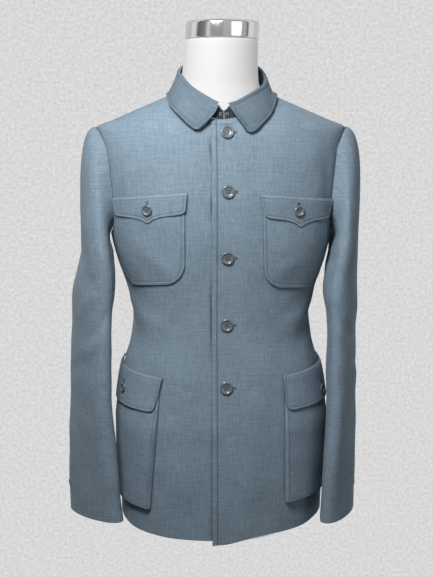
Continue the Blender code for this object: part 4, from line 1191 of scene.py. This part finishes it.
# Side, inner edge at the top and low down, top z, rise, width, height, corner radius, proud.
pockets = {
    "chestPocketLeft": (1, 62, 66, 613, -0.085, 131, 150, (32, 40), 0, "chest_pocket_left"),
    "chestPocketRight": (-1, 67, 67, 616, -0.085, 131, 146, (34, 40), 0, "chest_pocket_right"),
    "lowerPocketLeft": (1, 104, 106, 300, 0.09, 150, 219, (4, 4), 1, "lower_pocket_left"),
    "lowerPocketRight": (-1, 110, 132, 299, 0.09, 143, 230, (4, 4), 1, "lower_pocket_right"),
}
flapLook = {"lift": 3.65, "sewn": 1.3, "hang": 7, "strip": 5.7, "stripDeeper": 1.3,
            "stitchIn": 5.0, "groove": 0.4, "grooveWidth": 0.9, "edge": 0.25, "edgeIn": 2.2,
            "edgeWidth": 1.6, "ripple": (30, 0.5), "rippleFrom": 50, "rippleFade": (2, 12),
            "tuck": 0.5, "tuckFade": 1.5, "step": 1.7 * 1.3, "rows": 44,
            "edgeRows": [0, 0.7, 1.6, 3.0, 4.1, 5.0, 5.9, 7.2],
            "stitchShade": (0.3, 0.8), "stripShade": (0.4, 0.8)}
# Side, inner edge, top z, rise, width, draw in.
flaps = {
    "chestFlapLeft": (1, 57, 620, -0.085, 147, 8, "chest_flap_left"),
    "chestFlapRight": (-1, 62, 623, -0.085, 140, 3, "chest_flap_right"),
    "lowerFlapLeft": (1, 100, 308, 0.09, 158, 5, "lower_flap_left"),
    "lowerFlapRight": (-1, 106, 306, 0.09, 158, 13, "lower_flap_right"),
}
pointedEdge = [(0.0, 31), (0.02, 35), (0.06, 37.5), (0.3, 40), (0.42, 43.5), (0.5, 49), (0.58, 43.5),
               (0.7, 38), (0.94, 33.5), (0.98, 31.5), (1.0, 27)]
# By side: how far the point is moved towards the inner edge, and how much deeper the flap is.
pointFit = {1: (0.015, 1.04), -1: (0.02, 0.95)}
pointed = {side: [(u - shift * (0.4 < u < 0.6), depth * deeper) for u, depth in pointedEdge]
           for side, (shift, deeper) in pointFit.items()}
straightEdge = [(0.0, 50), (0.04, 60), (0.1, 63), (0.5, 64), (0.9, 63), (0.96, 60), (1.0, 50)]


def pocketRise(down, across, width):
    fade = (1 - pocketLook["riseLeft"]) * ease(across, pocketLook["riseFade"] * width, width)
    return pocketLook["proud"] * ease(down, *pocketLook["riseDown"]) * (1 - fade)


def cornerInset(aboveEnd, radius):
    if aboveEnd >= radius:
        return 0.0
    return radius - math.sqrt(max(radius ** 2 - (radius - aboveEnd) ** 2, 0.0))


def rimDistance(across, down, width, height, radii):
    low = height - down
    found = []
    for edge, radius in ((across, radii[0]), (width - across, radii[1])):
        if edge < radius and low < radius:
            found.append(radius - math.hypot(radius - edge, radius - low))
        else:
            found.append(min(edge, low))
    return max(min(found), 0.0)


def crowded(total, step, edges):
    count = max(int((total - 2 * edges[-1]) / step), 2)
    inside = [edges[-1] + (total - 2 * edges[-1]) * i / count for i in range(1, count)]
    return list(edges) + inside + [total - e for e in reversed(edges)]


def pocketPoint(row, across, down):
    side, innerTop, innerLow, topZ, rise, width, height, radii, proud, _ = row
    start = innerTop + (innerLow - innerTop) * down / height
    away = rimDistance(across, down, width, height, radii)
    out = pocketLook["lift"] + cloth["wall"]
    if proud:
        out += pocketRise(down, across, width) * ease(away, 0, pocketLook["gusset"])
    out -= pocketLook["groove"] * bell(away, pocketLook["stitchIn"], pocketLook["grooveWidth"])
    out += pocketLook["edge"] * bell(away, pocketLook["edgeIn"], pocketLook["edgeWidth"])
    z = topZ + rise * across - down
    puff = pocketLook["puff"] * ease(away, *pocketLook["puffFade"]) * (1 - proud)
    puff += (ripple(Vector((across, down, side * pocketLook["rippleFrom"])), *pocketLook["ripple"])
             * ease(away, *pocketLook["rippleFade"]))
    return onCloth(side, start + across, z, out + puff)


def makePocket(name, row):
    width, height, radii = row[5:8]
    shade, shadeWidth = pocketLook["shade"]
    acrosses = crowded(width, pocketLook["step"], pocketLook["edgeRows"])
    low = pocketLook["edgeRows"] if row[8] else pocketLook["cornerRows"]
    downs = [height * i / 60 for i in range(int(60 * (1 - low[-1] / height)))]
    downs += [height - e for e in reversed(low)]

    def spot(c, r):
        down = downs[len(downs) - 1 - r]
        left = cornerInset(height - down, radii[0])
        right = cornerInset(height - down, radii[1])
        return left + (width - left - right) * acrosses[c] / width, down

    def place(c, r):
        return pocketPoint(row, *spot(c, r))

    def flatPlace(c, r):
        across, down = spot(c, r)
        return (row[0] * (row[1] + across) + 3, row[3] - down + 2)

    # Painted shade: darker along the topstitch groove.
    def paintedShadeAt(c, r):
        away = rimDistance(*spot(c, r), width, height, radii)
        return shade * bell(away, pocketLook["stitchIn"], shadeWidth)

    piece = makeSheet(name, len(acrosses) - 1, len(downs) - 1, place, flatPlace,
                      Vector((0, -1, 0)), paintedShadeAt)
    dress(piece, wool, "wool", row[9])


def flapOutline(row):
    if row[3] > 0:
        return straightEdge
    return pointed[row[0]]


def flapEdges(row, u, v):
    table, width = flapOutline(row), row[4]
    depth = smooth(table, u)
    slope = (smooth(table, u + 0.01) - smooth(table, u - 0.01)) / (0.02 * width)
    low = depth * (1 - v) / math.hypot(1, slope)
    return min(low, width * u, width * (1 - u)), depth * v


def flapPoint(row, u, v):
    side, inner, topZ, rise, width, drawIn, _ = row
    away, down = flapEdges(row, u, v)
    across = width * u + drawIn * v * (1 - 2 * u)
    hang = ease(down, 0, flapLook["hang"])
    out = flapLook["sewn"] + (flapLook["lift"] - flapLook["sewn"]) * hang + cloth["wall"]
    if rise > 0:
        out += pocketRise(down, across, width)
    out -= flapLook["groove"] * bell(away, flapLook["stitchIn"], flapLook["grooveWidth"])
    out -= (flapLook["groove"] * flapLook["stripDeeper"]
            * bell(down, flapLook["strip"], flapLook["grooveWidth"]))
    out += flapLook["edge"] * bell(away, flapLook["edgeIn"], flapLook["edgeWidth"])
    out += (ripple(Vector((across, down, side * flapLook["rippleFrom"])), *flapLook["ripple"])
            * ease(away, *flapLook["rippleFade"]))
    out -= flapLook["tuck"] * (1 - ease(down, 0, flapLook["tuckFade"]))
    return onCloth(side, inner + across, topZ + rise * across - down, out)


def makeFlap(name, row):
    width, count = row[4], flapLook["rows"]
    across = crowded(width, flapLook["step"], flapLook["edgeRows"])
    if row[3] > 0:
        across = sorted(across + [2.3])
    downs = [i / count for i in range(count + 1)]

    def place(c, r):
        return flapPoint(row, across[c] / width, downs[count - r])

    def flatPlace(c, r):
        depth = smooth(flapOutline(row), across[c] / width)
        return (row[0] * (row[1] + across[c]) + 7, row[2] - downs[count - r] * depth - 3)

    # Painted shade: darker along the topstitch groove and along the strip's groove.
    def paintedShadeAt(c, r):
        away, down = flapEdges(row, across[c] / width, downs[count - r])
        (edgeDark, edgeWidth), (stripDark, stripWidth) = flapLook["stitchShade"], flapLook["stripShade"]
        return max(edgeDark * bell(away, flapLook["stitchIn"], edgeWidth),
                   stripDark * bell(down, flapLook["strip"], stripWidth))

    piece = makeSheet(name, len(across) - 1, count, place, flatPlace, Vector((0, -1, 0)), paintedShadeAt)
    dress(piece, wool, "wool", row[6])


for name, row in pockets.items():
    makePocket(name, row)
for name, row in flaps.items():
    makeFlap(name, row)
print("pockets laid on")


def ringIndex(point, rings):
    return round(math.acos(max(-1.0, min(1.0, point.z))) / math.pi * rings)


# Round things: a sphere whose rings are put in their places, from its top pole down.
def makeTurned(name, rings, segments, place, top, bottom, material, slot, nodes=()):
    deselectAll()
    bpy.ops.mesh.primitive_uv_sphere_add(segments=segments, ring_count=rings + 1, radius=1)
    piece = bpy.context.object
    piece.name = name
    piece.data.name = name
    for vertex in piece.data.vertices:
        p = vertex.co
        k = ringIndex(p, rings + 1)
        if k == 0:
            vertex.co = top * mm
        elif k == rings + 1:
            vertex.co = bottom * mm
        else:
            vertex.co = place(k - 1, math.atan2(p.y, p.x)) * mm
    bpy.ops.object.shade_smooth()
    dress(piece, material, slot, *nodes)


# Dress form: torso, neck and a chrome cap, leaning a little to one side.
form = {"segments": 96, "inside": 7.6, "neckClear": 7.0, "lean": 3.0, "leanFrom": 790.0,
        "shift": -3.5, "neckTop": 877.0, "capDepth": 0.985}
formTable = [
    (0, 112, 84, 84, 2.2), (8, 119, 90, 90, 2.2), (22, 134, 98, 96, 2.2), (45, 150, 106, 101, 2.2),
    (90, 161, 112, 104, 2.2), (170, 166, 113, 104, 2.2), (250, 160, 110, 101, 2.2),
    (330, 146, 105, 92, 2.2), (395, 137, 101, 84, 2.2), (460, 148, 104, 88, 2.2),
    (530, 168, 109, 96, 2.2), (600, 183, 110, 102, 2.25), (650, 192, 106, 105, 2.3),
]
formNeckTable = [
    (690, 60, 78, 60), (744, 74, 78, 66), (764, 78, 73.5, 67), (783, 75, 68.5, 66),
    (806, 67.5, 65, 61.5), (835, 64.5, 63.5, 61), (877, 62.5, 62, 61),
]
capProfile = [(24, 31), (50, 30.9), (58, 30.4), (60.6, 29.8), (62.4, 28.6), (63.4, 27), (63.8, 25),
              (63.8, 13), (63.8, 3), (63.4, 1.2), (62.6, 0.5), (61.0, 0.2), (40, 0.2)]


def formRing(width, front, back, power, z, turn):
    x, y = math.sin(turn), -math.cos(turn)
    depth = front if y < 0 else back
    reach = (abs(x / width) ** power + abs(y / depth) ** power) ** (-1 / power)
    return Vector((x * reach, y * reach, z))


def leaned(point):
    up = max(point.z - form["leanFrom"], 0.0)
    shift = form["shift"] * ease(point.z, 760, 800) + up * math.tan(math.radians(form["lean"]))
    return Vector((point.x + shift, point.y, point.z))


def formPoint(z, turn):
    neckRing = formRing(*(smooth(formNeckTable, z, c) for c in (1, 2, 3)), 2.0, z, turn)
    if z > 783:
        point = neckRing
    elif z >= 690:
        point = keepInside(formRing(*bodySize(z), z, turn), form["inside"])
        point = point if point.xy.length > neckRing.xy.length else neckRing
    elif z > 650:
        low = formRing(*(smooth(formTable, 650, c) for c in (1, 2, 3, 4)), z, turn)
        high = keepInside(formRing(*bodySize(690), 690, turn), form["inside"])
        point = low.lerp(Vector((high.x, high.y, z)), (z - 650) / 40)
    else:
        point = formRing(*(smooth(formTable, z, c) for c in (1, 2, 3, 4)), z, turn)
    point = leaned(point)
    depth = neck["front"] if point.y < 0 else neck["back"]
    inNeck = math.hypot(point.x / (neck["width"] - form["neckClear"]),
                        point.y / (depth - form["neckClear"])) < 1
    if 600 < point.z < 800 and not inNeck:
        point = keepInside(point, form["inside"])
    return point


def makeForm():
    levels = [877, 876.6, 875.6, 872] + [866 - 76 * i / 12 for i in range(13)]
    levels += [786 - 100 * i / 30 for i in range(31)] + [680 - 630 * i / 42 for i in range(43)]
    levels += [40, 32, 25, 18, 12, 7, 3.5, 1.2, 0]
    rim = {0: 2.2, 1: 1.0, 2: 0.3}

    def place(k, turn):
        point = formPoint(levels[k], turn)
        if k in rim:
            point.xy = point.xy - point.xy.normalized() * rim[k]
        return point

    makeTurned("formBody", len(levels), form["segments"], place,
               leaned(Vector((0, 0, form["neckTop"]))), Vector((0, 0, 0)),
               jersey, "form_cover", ("form_torso",))


def makeCap():
    base = form["neckTop"] + 0.3

    def place(k, turn):
        radius, up = capProfile[k]
        depth = radius * form["capDepth"]
        return leaned(formRing(radius, depth, depth, 2.0, base + up, turn))

    makeTurned("neckCap", len(capProfile), 128, place, leaned(Vector((0, 0, base + 31))),
               leaned(Vector((0, 0, base + 0.2))), chrome, "chrome", ("form_cap",))


makeForm()
makeCap()
print("form built")


# Buttons: a dished disc with a raised rim and four holes, sewn on with crossed thread.
button = {"profile": [(0.28, 1.3), (0.5, 1.35), (0.6, 1.55), (0.68, 2.2), (0.74, 2.95), (0.8, 3.25),
                      (0.87, 3.15), (0.94, 2.8), (0.99, 2.2), (1.0, 1.7), (0.98, 1.1), (0.94, 0.5),
                      (0.88, 0.1), (0.5, 0.0)],
          "holeOut": 0.18, "hole": 0.11, "drillUp": 1.0, "drillDepth": 6, "edge": 0.12,
          "bevelFrom": 50, "smoothTo": 40, "threadWidth": 0.9, "threadUp": 1.05,
          "threadPast": 0.3, "cuffZ": 92.0, "cuffAngle": -50.0, "cuffRadius": 7.0}
# Side, distance from the centre line, z, radius and how far off the cloth.
buttonRows = {
    "front_button_1": (1, 4.5, 720.5, 11.2, 1.85), "front_button_2": (1, 5.0, 623.5, 11.2, 1.85),
    "front_button_3": (1, 4.0, 513.5, 11.2, 1.85), "front_button_4": (1, 3.0, 398.0, 11.2, 1.85),
    "front_button_5": (1, 2.0, 290.0, 11.2, 1.85),
    "chest_button_left": (1, 124.5, 590, 9.2, 6.15), "chest_button_right": (-1, 129.5, 592.5, 9.2, 6.15),
    "lower_button_left": (1, 190, 271, 7.8, 6.65), "lower_button_right": (-1, 190, 277, 7.8, 6.65),
}


def buttonMaster(radius):
    deselectAll()
    profile = button["profile"]
    bpy.ops.mesh.primitive_uv_sphere_add(segments=36, ring_count=len(profile) + 1, radius=1)
    disc = bpy.context.object
    for vertex in disc.data.vertices:
        p = vertex.co
        k = ringIndex(p, len(profile) + 1)
        turn = math.atan2(p.y, p.x)
        share, up = profile[min(max(k - 1, 0), len(profile) - 1)]
        if k in (0, len(profile) + 1):
            vertex.co = Vector((0, 0, up)) * mm
        else:
            reach = radius * share
            vertex.co = Vector((reach * math.cos(turn), reach * math.sin(turn), up)) * mm
    for turn in (45, 135, 225, 315):
        out = radius * button["holeOut"] * math.sqrt(2)
        place = Vector((out * math.cos(math.radians(turn)), out * math.sin(math.radians(turn)),
                        button["drillUp"])) * mm
        deselectAll()
        bpy.ops.mesh.primitive_cylinder_add(vertices=14, radius=radius * button["hole"] * mm,
                                            depth=button["drillDepth"] * mm, location=place)
        drill = bpy.context.object
        deselectAll()
        bpy.context.view_layer.objects.active = disc
        cut = disc.modifiers.new("hole", 'BOOLEAN')
        cut.object = drill
        cut.solver = 'EXACT'
        bpy.ops.object.modifier_apply(modifier=cut.name)
        bpy.data.objects.remove(drill, do_unlink=True)
    deselectAll()
    disc.select_set(True)
    bpy.context.view_layer.objects.active = disc
    bevel = disc.modifiers.new("edge", 'BEVEL')
    bevel.limit_method = 'ANGLE'
    bevel.angle_limit = math.radians(button["bevelFrom"])
    bevel.width = button["edge"] * mm
    bevel.segments = 2
    bpy.ops.object.modifier_apply(modifier=bevel.name)
    bpy.ops.object.shade_smooth_by_angle(angle=math.radians(button["smoothTo"]))
    return disc


def setButton(name, node, master, place, normal):
    made = master.copy()
    made.data = master.data.copy()
    bpy.context.scene.collection.objects.link(made)
    made.name = name
    facing = normal.to_track_quat('Z', 'Y').to_matrix().to_4x4()
    made.data.transform(Matrix.Translation(place * mm) @ facing)
    dress(made, horn, "button", node)


def camelName(node):
    first, *rest = node.split("_")
    return first + "".join(word.capitalize() for word in rest)


def clothNormal(side, s, z):
    step = slopeStep["mm"]
    across = onCloth(side, s + step, z, 0) - onCloth(side, s - step, z, 0)
    up = onCloth(side, s, z + step, 0) - onCloth(side, s, z - step, 0)
    return (across.cross(up) * side).normalized()


def cuffPlace(side):
    table = sleeveLeftTable if side > 0 else sleeveRightTable
    z, angle = button["cuffZ"], button["cuffAngle"]
    at = ringPoint(table, z, angle)
    along = ringPoint(table, z, angle + 8) - ringPoint(table, z, angle - 8)
    up = ringPoint(table, z + 10, angle) - ringPoint(table, z - 10, angle)
    normal = along.cross(up).normalized()
    centre = Vector((smooth(table, z, 1), smooth(table, z, 2), z))
    if normal.dot(at - centre) < 0:
        normal.negate()
    if side < 0:
        at.x, normal.x = -at.x, -normal.x
    return at, normal


def makeButtons():
    masters = {radius: buttonMaster(radius) for radius in (11.2, 9.2, 7.8, button["cuffRadius"])}
    places = []
    for node, (side, s, z, radius, lift) in buttonRows.items():
        places.append((node, radius, onCloth(side, s, z, lift), clothNormal(side, s, z)))
    for side, word in ((1, "left"), (-1, "right")):
        at, normal = cuffPlace(side)
        places.append((f"cuff_button_{word}", button["cuffRadius"], at, normal))
    strands = []
    for node, radius, place, normal in places:
        setButton(camelName(node), node, masters[radius], place, normal)
        facing = normal.to_track_quat('Z', 'Y').to_matrix()
        out = radius * button["holeOut"]
        for x in (-out, out):
            ends = [place + facing @ Vector((x, y, button["threadUp"]))
                    for y in (-out - button["threadPast"], out + button["threadPast"])]
            strands.append((*ends, normal))
    for master in masters.values():
        bpy.data.objects.remove(master, do_unlink=True)
    sew("buttonThread", strands, darkThreadAndSlitShade, "button", button["threadWidth"], 0)


makeButtons()
print("buttons sewn on")


# Buttonholes: a slit inside two rows of close stitches, with a bar across the end. The slit is
# painted shade: a dark strand laid along it.
# A hole runs from and to a place along its line, measured from its button's middle.
buttonhole = {"pitch": 0.75, "stitch": 2.4, "width": 0.55, "slit": 0.25, "slitOut": 0.1,
              "bar": 2.2, "barOut": 0.25, "barSteps": (0, 0.6), "barWidth": 0.9, "rise": 0.05,
              "front": (-3, 15.5, 0.25), "flap": (-2, 13.5, 0.45)}


def slitPlaces(node):
    side, s, z, _, lift = buttonRows[node]
    if node.startswith("front"):
        start, end, drop = buttonhole["front"]
        return side, (s + start, z), (s + end, z), lift - drop
    start, end, drop = buttonhole["flap"]
    return side, (s, z + start), (s, z + end), lift - drop


def makeButtonholes():
    purl, slitShades, bars = [], [], []
    for node in buttonRows:
        side, (s1, z1), (s2, z2), out = slitPlaces(node)
        level = z1 == z2
        length = math.hypot(s2 - s1, z2 - z1)
        count = int(length / buttonhole["pitch"])
        for i in range(count + 1):
            t = i / count
            s, z = s1 + (s2 - s1) * t, z1 + (z2 - z1) * t
            normal = clothNormal(side, s, z)
            for away in (-1, 1):
                near = away * buttonhole["slit"]
                far = away * (buttonhole["slit"] + buttonhole["stitch"])
                ends = [(s, z + d) if level else (s + d, z) for d in (near, far)]
                purl.append((*(onCloth(side, a, b, out) for a, b in ends), normal))
        slitOut, barOut = out + buttonhole["slitOut"], out + buttonhole["barOut"]
        # Painted shade: a dark strand along each slit.
        slitShades.append((onCloth(side, s1, z1, slitOut), onCloth(side, s2, z2, slitOut),
                      clothNormal(side, s1, z1)))
        for k in buttonhole["barSteps"]:
            ends = [(s2 + k, z2 + d) if level else (s2 + d, z2 + k)
                    for d in (-buttonhole["bar"], buttonhole["bar"])]
            bars.append((*(onCloth(side, a, b, barOut) for a, b in ends), normal))
    rise = buttonhole["rise"]
    sew("buttonholeStitches", purl, thread, "wool", buttonhole["width"], rise)
    sew("buttonholeSlits", slitShades, darkThreadAndSlitShade, "wool", buttonhole["barWidth"], rise)
    sew("buttonholeBars", bars, darkThreadAndSlitShade, "wool", buttonhole["barWidth"], rise)


makeButtonholes()
print("buttonholes worked")


# Topstitching: rows of stitches in the grooves of the edges, and how far from an end, in mm,
# a row of a front, a pocket or a flap starts and stops.
topstitch = {"hemEnd": 8, "throatEnd": 9, "frontSteps": 160, "pocketEnd": 4, "flapEnd": 3}


def groovePlace(side, s, z, out):
    return (onCloth(side, s, z, out), clothNormal(side, s, z))


def frontEdgeLine(side):
    past = cloth["overlap"] if side > 0 else cloth["underlap"]
    hem = hemLeftTable if side > 0 else hemRightTable
    s = front["stitchIn"] - past
    low = smooth(hem, s / frontLength(hemZ)) + topstitch["hemEnd"]
    count = topstitch["frontSteps"]
    line = []
    for i in range(count + 1):
        z = low + (neck["dropZ"] - topstitch["throatEnd"] - low) * i / count
        line.append(groovePlace(side, s, z, lapLift(s, side) - front["groove"]))
    return line


def pocketStitchLine(row):
    width, height, radii = row[5:8]
    inset, end = pocketLook["stitchIn"], topstitch["pocketEnd"]
    path = [(inset, end + (height - end - max(radii[0], inset)) * i / 40) for i in range(41)]
    r = radii[0] - inset
    if r > 0:
        path += [(radii[0] - r * math.cos(a), height - radii[0] + r * math.sin(a))
                 for a in (math.pi / 2 * i / 12 for i in range(1, 13))]
    left, right = max(radii[0], inset), max(radii[1], inset)
    path += [(left + (width - left - right) * i / 30, height - inset) for i in range(1, 31)]
    r = radii[1] - inset
    if r > 0:
        path += [(width - radii[1] + r * math.sin(a), height - radii[1] + r * math.cos(a))
                 for a in (math.pi / 2 * i / 12 for i in range(1, 13))]
    path += [(width - inset, height - right - (height - right - end) * i / 40) for i in range(1, 41)]
    line = []
    for across, down in path:
        start = row[1] + (row[2] - row[1]) * down / height
        z = row[3] + row[4] * across - down
        line.append((pocketPoint(row, across, down), clothNormal(row[0], start + across, z)))
    return line


def flapStitchLines(row):
    width, table, inset = row[4], flapOutline(row), flapLook["stitchIn"]
    end = topstitch["flapEnd"]

    def at(across, down):
        depth = smooth(table, across / width)
        z = row[2] + row[3] * across - down
        return (flapPoint(row, across / width, down / depth), clothNormal(row[0], row[1] + across, z))

    sideDepth = smooth(table, inset / width) - inset - 1
    edge = [at(inset, end + (sideDepth - end) * i / 14) for i in range(15)]
    edge += [at(inset + (width - 2 * inset) * i / 60,
                smooth(table, inset / width + (1 - 2 * inset / width) * i / 60) - inset)
             for i in range(1, 61)]
    sideDepth = smooth(table, 1 - inset / width) - inset - 1
    edge += [at(width - inset, sideDepth - (sideDepth - end) * i / 14) for i in range(15)]
    strip = [at(2 + (width - 4) * i / 60, flapLook["strip"]) for i in range(61)]
    return edge, strip


def collarStitchLine():
    inset = collar["stitchIn"]
    line = [(10.5, 0.1 + 0.78 * i / 24) for i in range(24)]
    line += [(10.5 + 339 * i / 200, 1.0) for i in range(1, 200)]
    line += [(349.5, 0.88 - 0.78 * i / 24) for i in range(24)]
    places = []
    for angle, v in line:
        if v == 1.0:
            length = (fallPoint(angle, 1.0) - fallPoint(angle, 0.6)).length / 0.4
            v = 1 - inset / length
        point = fallPoint(angle, v)
        across = fallPoint(min(angle + 1, 353), v) - fallPoint(max(angle - 1, 7), v)
        down = fallPoint(angle, min(v + 0.05, 1)) - fallPoint(angle, max(v - 0.05, 0))
        normal = -across.cross(down).normalized()
        places.append((point - normal * collar["groove"], normal))
    return places


def makeTopstitching():
    lines = [frontEdgeLine(1), frontEdgeLine(-1)]
    sew("frontStitches", [p for line in lines for p in stitchesAlong(line)], thread)
    lines = [pocketStitchLine(row) for row in pockets.values()]
    sew("pocketStitches", [p for line in lines for p in stitchesAlong(line)], thread)
    lines = [line for row in flaps.values() for line in flapStitchLines(row)]
    sew("flapStitches", [p for line in lines for p in stitchesAlong(line)], thread)
    sew("collarStitches", stitchesAlong(collarStitchLine()), thread)


makeTopstitching()
print("topstitching done")


# Hook and eye: bent wires that lie on the ends of the stand.
# The bend is from an angle, to an angle, in so many steps.
hook = {"wire": 0.55, "out": 1.65, "angle": 2.3, "width": 2.0, "rise": 2.8, "share": 0.5,
        "bend": (-60, 240, 22)}


def bendWire(name, node, side):
    first, final, steps = hook["bend"]
    low = standLow(hook["angle"])
    height = standHigh(hook["angle"]).z - low.z
    points = []
    for i in range(steps + 1):
        angle = math.radians(first + (final - first) * i / steps)
        place = standPoint(hook["angle"], hook["share"] + hook["rise"] * math.sin(angle) / height)
        place.x = side * (low.x + hook["width"] * math.cos(angle))
        place.y -= hook["out"]
        points.append(place * mm)
    curve = bpy.data.curves.new(name, 'CURVE')
    curve.dimensions = '3D'
    spline = curve.splines.new('POLY')
    spline.points.add(len(points) - 1)
    for point, place in zip(spline.points, points):
        point.co = (*place, 1)
    curve.bevel_depth = hook["wire"] * mm
    curve.bevel_resolution = 3
    curve.use_fill_caps = True
    piece = bpy.data.objects.new(name, curve)
    bpy.context.scene.collection.objects.link(piece)
    deselectAll()
    piece.select_set(True)
    bpy.context.view_layer.objects.active = piece
    bpy.ops.object.convert(target='MESH')
    piece = bpy.context.object
    bpy.ops.object.shade_smooth()
    dress(piece, steel, "hook", node)


bendWire("collarHook", "collar_hook", 1)
bendWire("collarEye", "collar_eye", -1)
print("hook and eye on")


# Width, length and area of each piece, as measured on the finished sheets, how it is held and
# what it lies on. The chest pockets' lengths leave out the run round their corners.
cuts = {
    "frontLeft": (0.316, 0.836, 0.2097, "draped", ["formBody"]),
    "frontRight": (0.312, 0.842, 0.2094, "draped", ["formBody"]),
    "backPanel": (0.537, 0.850, 0.3261, "draped", ["formBody"]),
    "sleeveLeftTop": (0.340, 0.695, 0.1278, "hung", ["frontLeft", "backPanel"]),
    "sleeveLeftUnder": (0.167, 0.574, 0.0700, "hung", ["sleeveLeftTop"]),
    "sleeveRightTop": (0.340, 0.700, 0.1310, "hung", ["frontRight", "backPanel"]),
    "sleeveRightUnder": (0.167, 0.584, 0.0714, "hung", ["sleeveRightTop"]),
    "collarStand": (0.560, 0.049, 0.0172, "folded", ["frontLeft", "frontRight", "backPanel"]),
    "collarFall": (0.589, 0.066, 0.0272, "folded", ["collarStand"]),
    "chestPocketLeft": (0.134, 0.154, 0.0198, "laid", ["frontLeft"]),
    "chestPocketRight": (0.134, 0.150, 0.0193, "laid", ["frontRight"]),
    "lowerPocketLeft": (0.163, 0.225, 0.0356, "laid", ["frontLeft"]),
    "lowerPocketRight": (0.156, 0.237, 0.0360, "laid", ["frontRight"]),
    "chestFlapLeft": (0.150, 0.052, 0.0059, "laid", ["chestPocketLeft"]),
    "chestFlapRight": (0.148, 0.048, 0.0054, "laid", ["chestPocketRight"]),
    "lowerFlapLeft": (0.173, 0.069, 0.0104, "laid", ["lowerPocketLeft"]),
    "lowerFlapRight": (0.167, 0.071, 0.0098, "laid", ["lowerPocketRight"]),
}
for name, (width, length, area, held, under) in cuts.items():
    [bpy.data.objects[n] for n in under]
print("cuts stated")


# Stage: a plain wall of fine plaster behind the form.
stage = {"size": 30.0, "y": 6.0, "z": 0.5, "dark": (0.235, 0.235, 0.234),
         "light": (0.425, 0.425, 0.423), "scale": 46, "rough": 0.95, "bump": 0.003, "glow": 1.92}


def makeStage():
    deselectAll()
    bpy.ops.mesh.primitive_plane_add(size=stage["size"], location=(0, stage["y"], stage["z"]),
                                     rotation=(math.pi / 2, 0, 0))
    wall = bpy.context.object
    wall.name = "wall"
    plaster = makeSpeckled("plaster", stage["dark"], stage["light"], stage["scale"],
                           stage["rough"], bump=stage["bump"])
    shader = plaster.node_tree.nodes["Principled BSDF"]
    colour = shader.inputs["Base Color"].links[0].from_socket
    plaster.node_tree.links.new(colour, shader.inputs["Emission Color"])
    shader.inputs["Emission Strength"].default_value = stage["glow"]
    wall.data.materials.append(plaster)


# Light: a soft lamp above the chest, a fill lamp from the right of the picture and a lamp
# behind. Each lamp: place, target, size, power. Gloss sees a studio with bright and dark
# panels round it: share of the turn, brightness.
lights = {"sky": (0.95, 0.97, 1.0), "skyPower": 0.12, "gloss": 1.0, "turn": -90,
          "tint": (1, 0.985, 0.95),
          "lamps": {"top": ((-0.36, -0.85, 1.4), (0, -0.05, 0.6), 0.45, 25),
                    "fill": ((1.4, -1.6, 1.0), (0, 0, 0.4), 1.2, 7),
                    "back": ((0.9, 2.6, 1.5), (0, 0, 0.5), 1.2, 14)}}
panels = [(0.0, 0.55), (0.21, 0.5), (0.225, 0.06), (0.245, 0.9), (0.36, 0.85), (0.42, 0.5),
          (0.53, 0.33), (0.545, 0.05), (0.57, 0.45), (0.62, 0.4), (0.63, 0.08), (0.655, 0.95),
          (0.74, 0.9), (0.77, 0.15), (0.84, 0.3), (0.87, 0.9), (0.9, 0.4)]


def makeLights():
    bpy.context.scene.view_settings.view_transform = 'Standard'
    world = bpy.data.worlds.new("studio")
    bpy.context.scene.world = world
    world.use_nodes = True
    tree = world.node_tree
    sky = tree.nodes["Background"]
    sky.inputs[0].default_value = (*lights["sky"], 1)
    sky.inputs[1].default_value = lights["skyPower"]
    where = tree.nodes.new('ShaderNodeTexCoord')
    turned = tree.nodes.new('ShaderNodeMapping')
    turned.inputs['Rotation'].default_value = (0, 0, math.radians(lights["turn"]))
    tree.links.new(where.outputs['Generated'], turned.inputs['Vector'])
    sweep = tree.nodes.new('ShaderNodeTexGradient')
    sweep.gradient_type = 'RADIAL'
    tree.links.new(turned.outputs[0], sweep.inputs['Vector'])
    ramp = tree.nodes.new('ShaderNodeValToRGB')
    tree.links.new(sweep.outputs['Fac'], ramp.inputs['Fac'])
    stops = ramp.color_ramp.elements
    for i, (place, bright) in enumerate(panels):
        stop = stops[i] if i < 2 else stops.new(place)
        stop.position = place
        stop.color = (*(bright * tint for tint in lights["tint"]), 1)
    studio = tree.nodes.new('ShaderNodeBackground')
    tree.links.new(ramp.outputs[0], studio.inputs[0])
    studio.inputs[1].default_value = lights["gloss"]
    path = tree.nodes.new('ShaderNodeLightPath')
    both = tree.nodes.new('ShaderNodeMixShader')
    tree.links.new(path.outputs['Is Glossy Ray'], both.inputs[0])
    tree.links.new(sky.outputs[0], both.inputs[1])
    tree.links.new(studio.outputs[0], both.inputs[2])
    tree.links.new(both.outputs[0], tree.nodes["World Output"].inputs[0])
    for name, (place, target, size, power) in lights["lamps"].items():
        deselectAll()
        bpy.ops.object.light_add(type='AREA', location=place)
        lamp = bpy.context.object
        lamp.name = name
        lamp.data.size = size
        lamp.data.energy = power
        lamp.visible_glossy = name != "back"
        lamp.rotation_euler = (Vector(target) - Vector(place)).to_track_quat('-Z', 'Y').to_euler()


makeStage()
makeLights()
for name, node in frame["nodes"].items():
    if "button" in name:
        look = horn
    elif name in ("collar_hook", "collar_eye"):
        look = steel
    else:
        look = wool
    for i in range(len(node.data.materials)):
        node.data.materials[i] = look
print("stage and lights set")
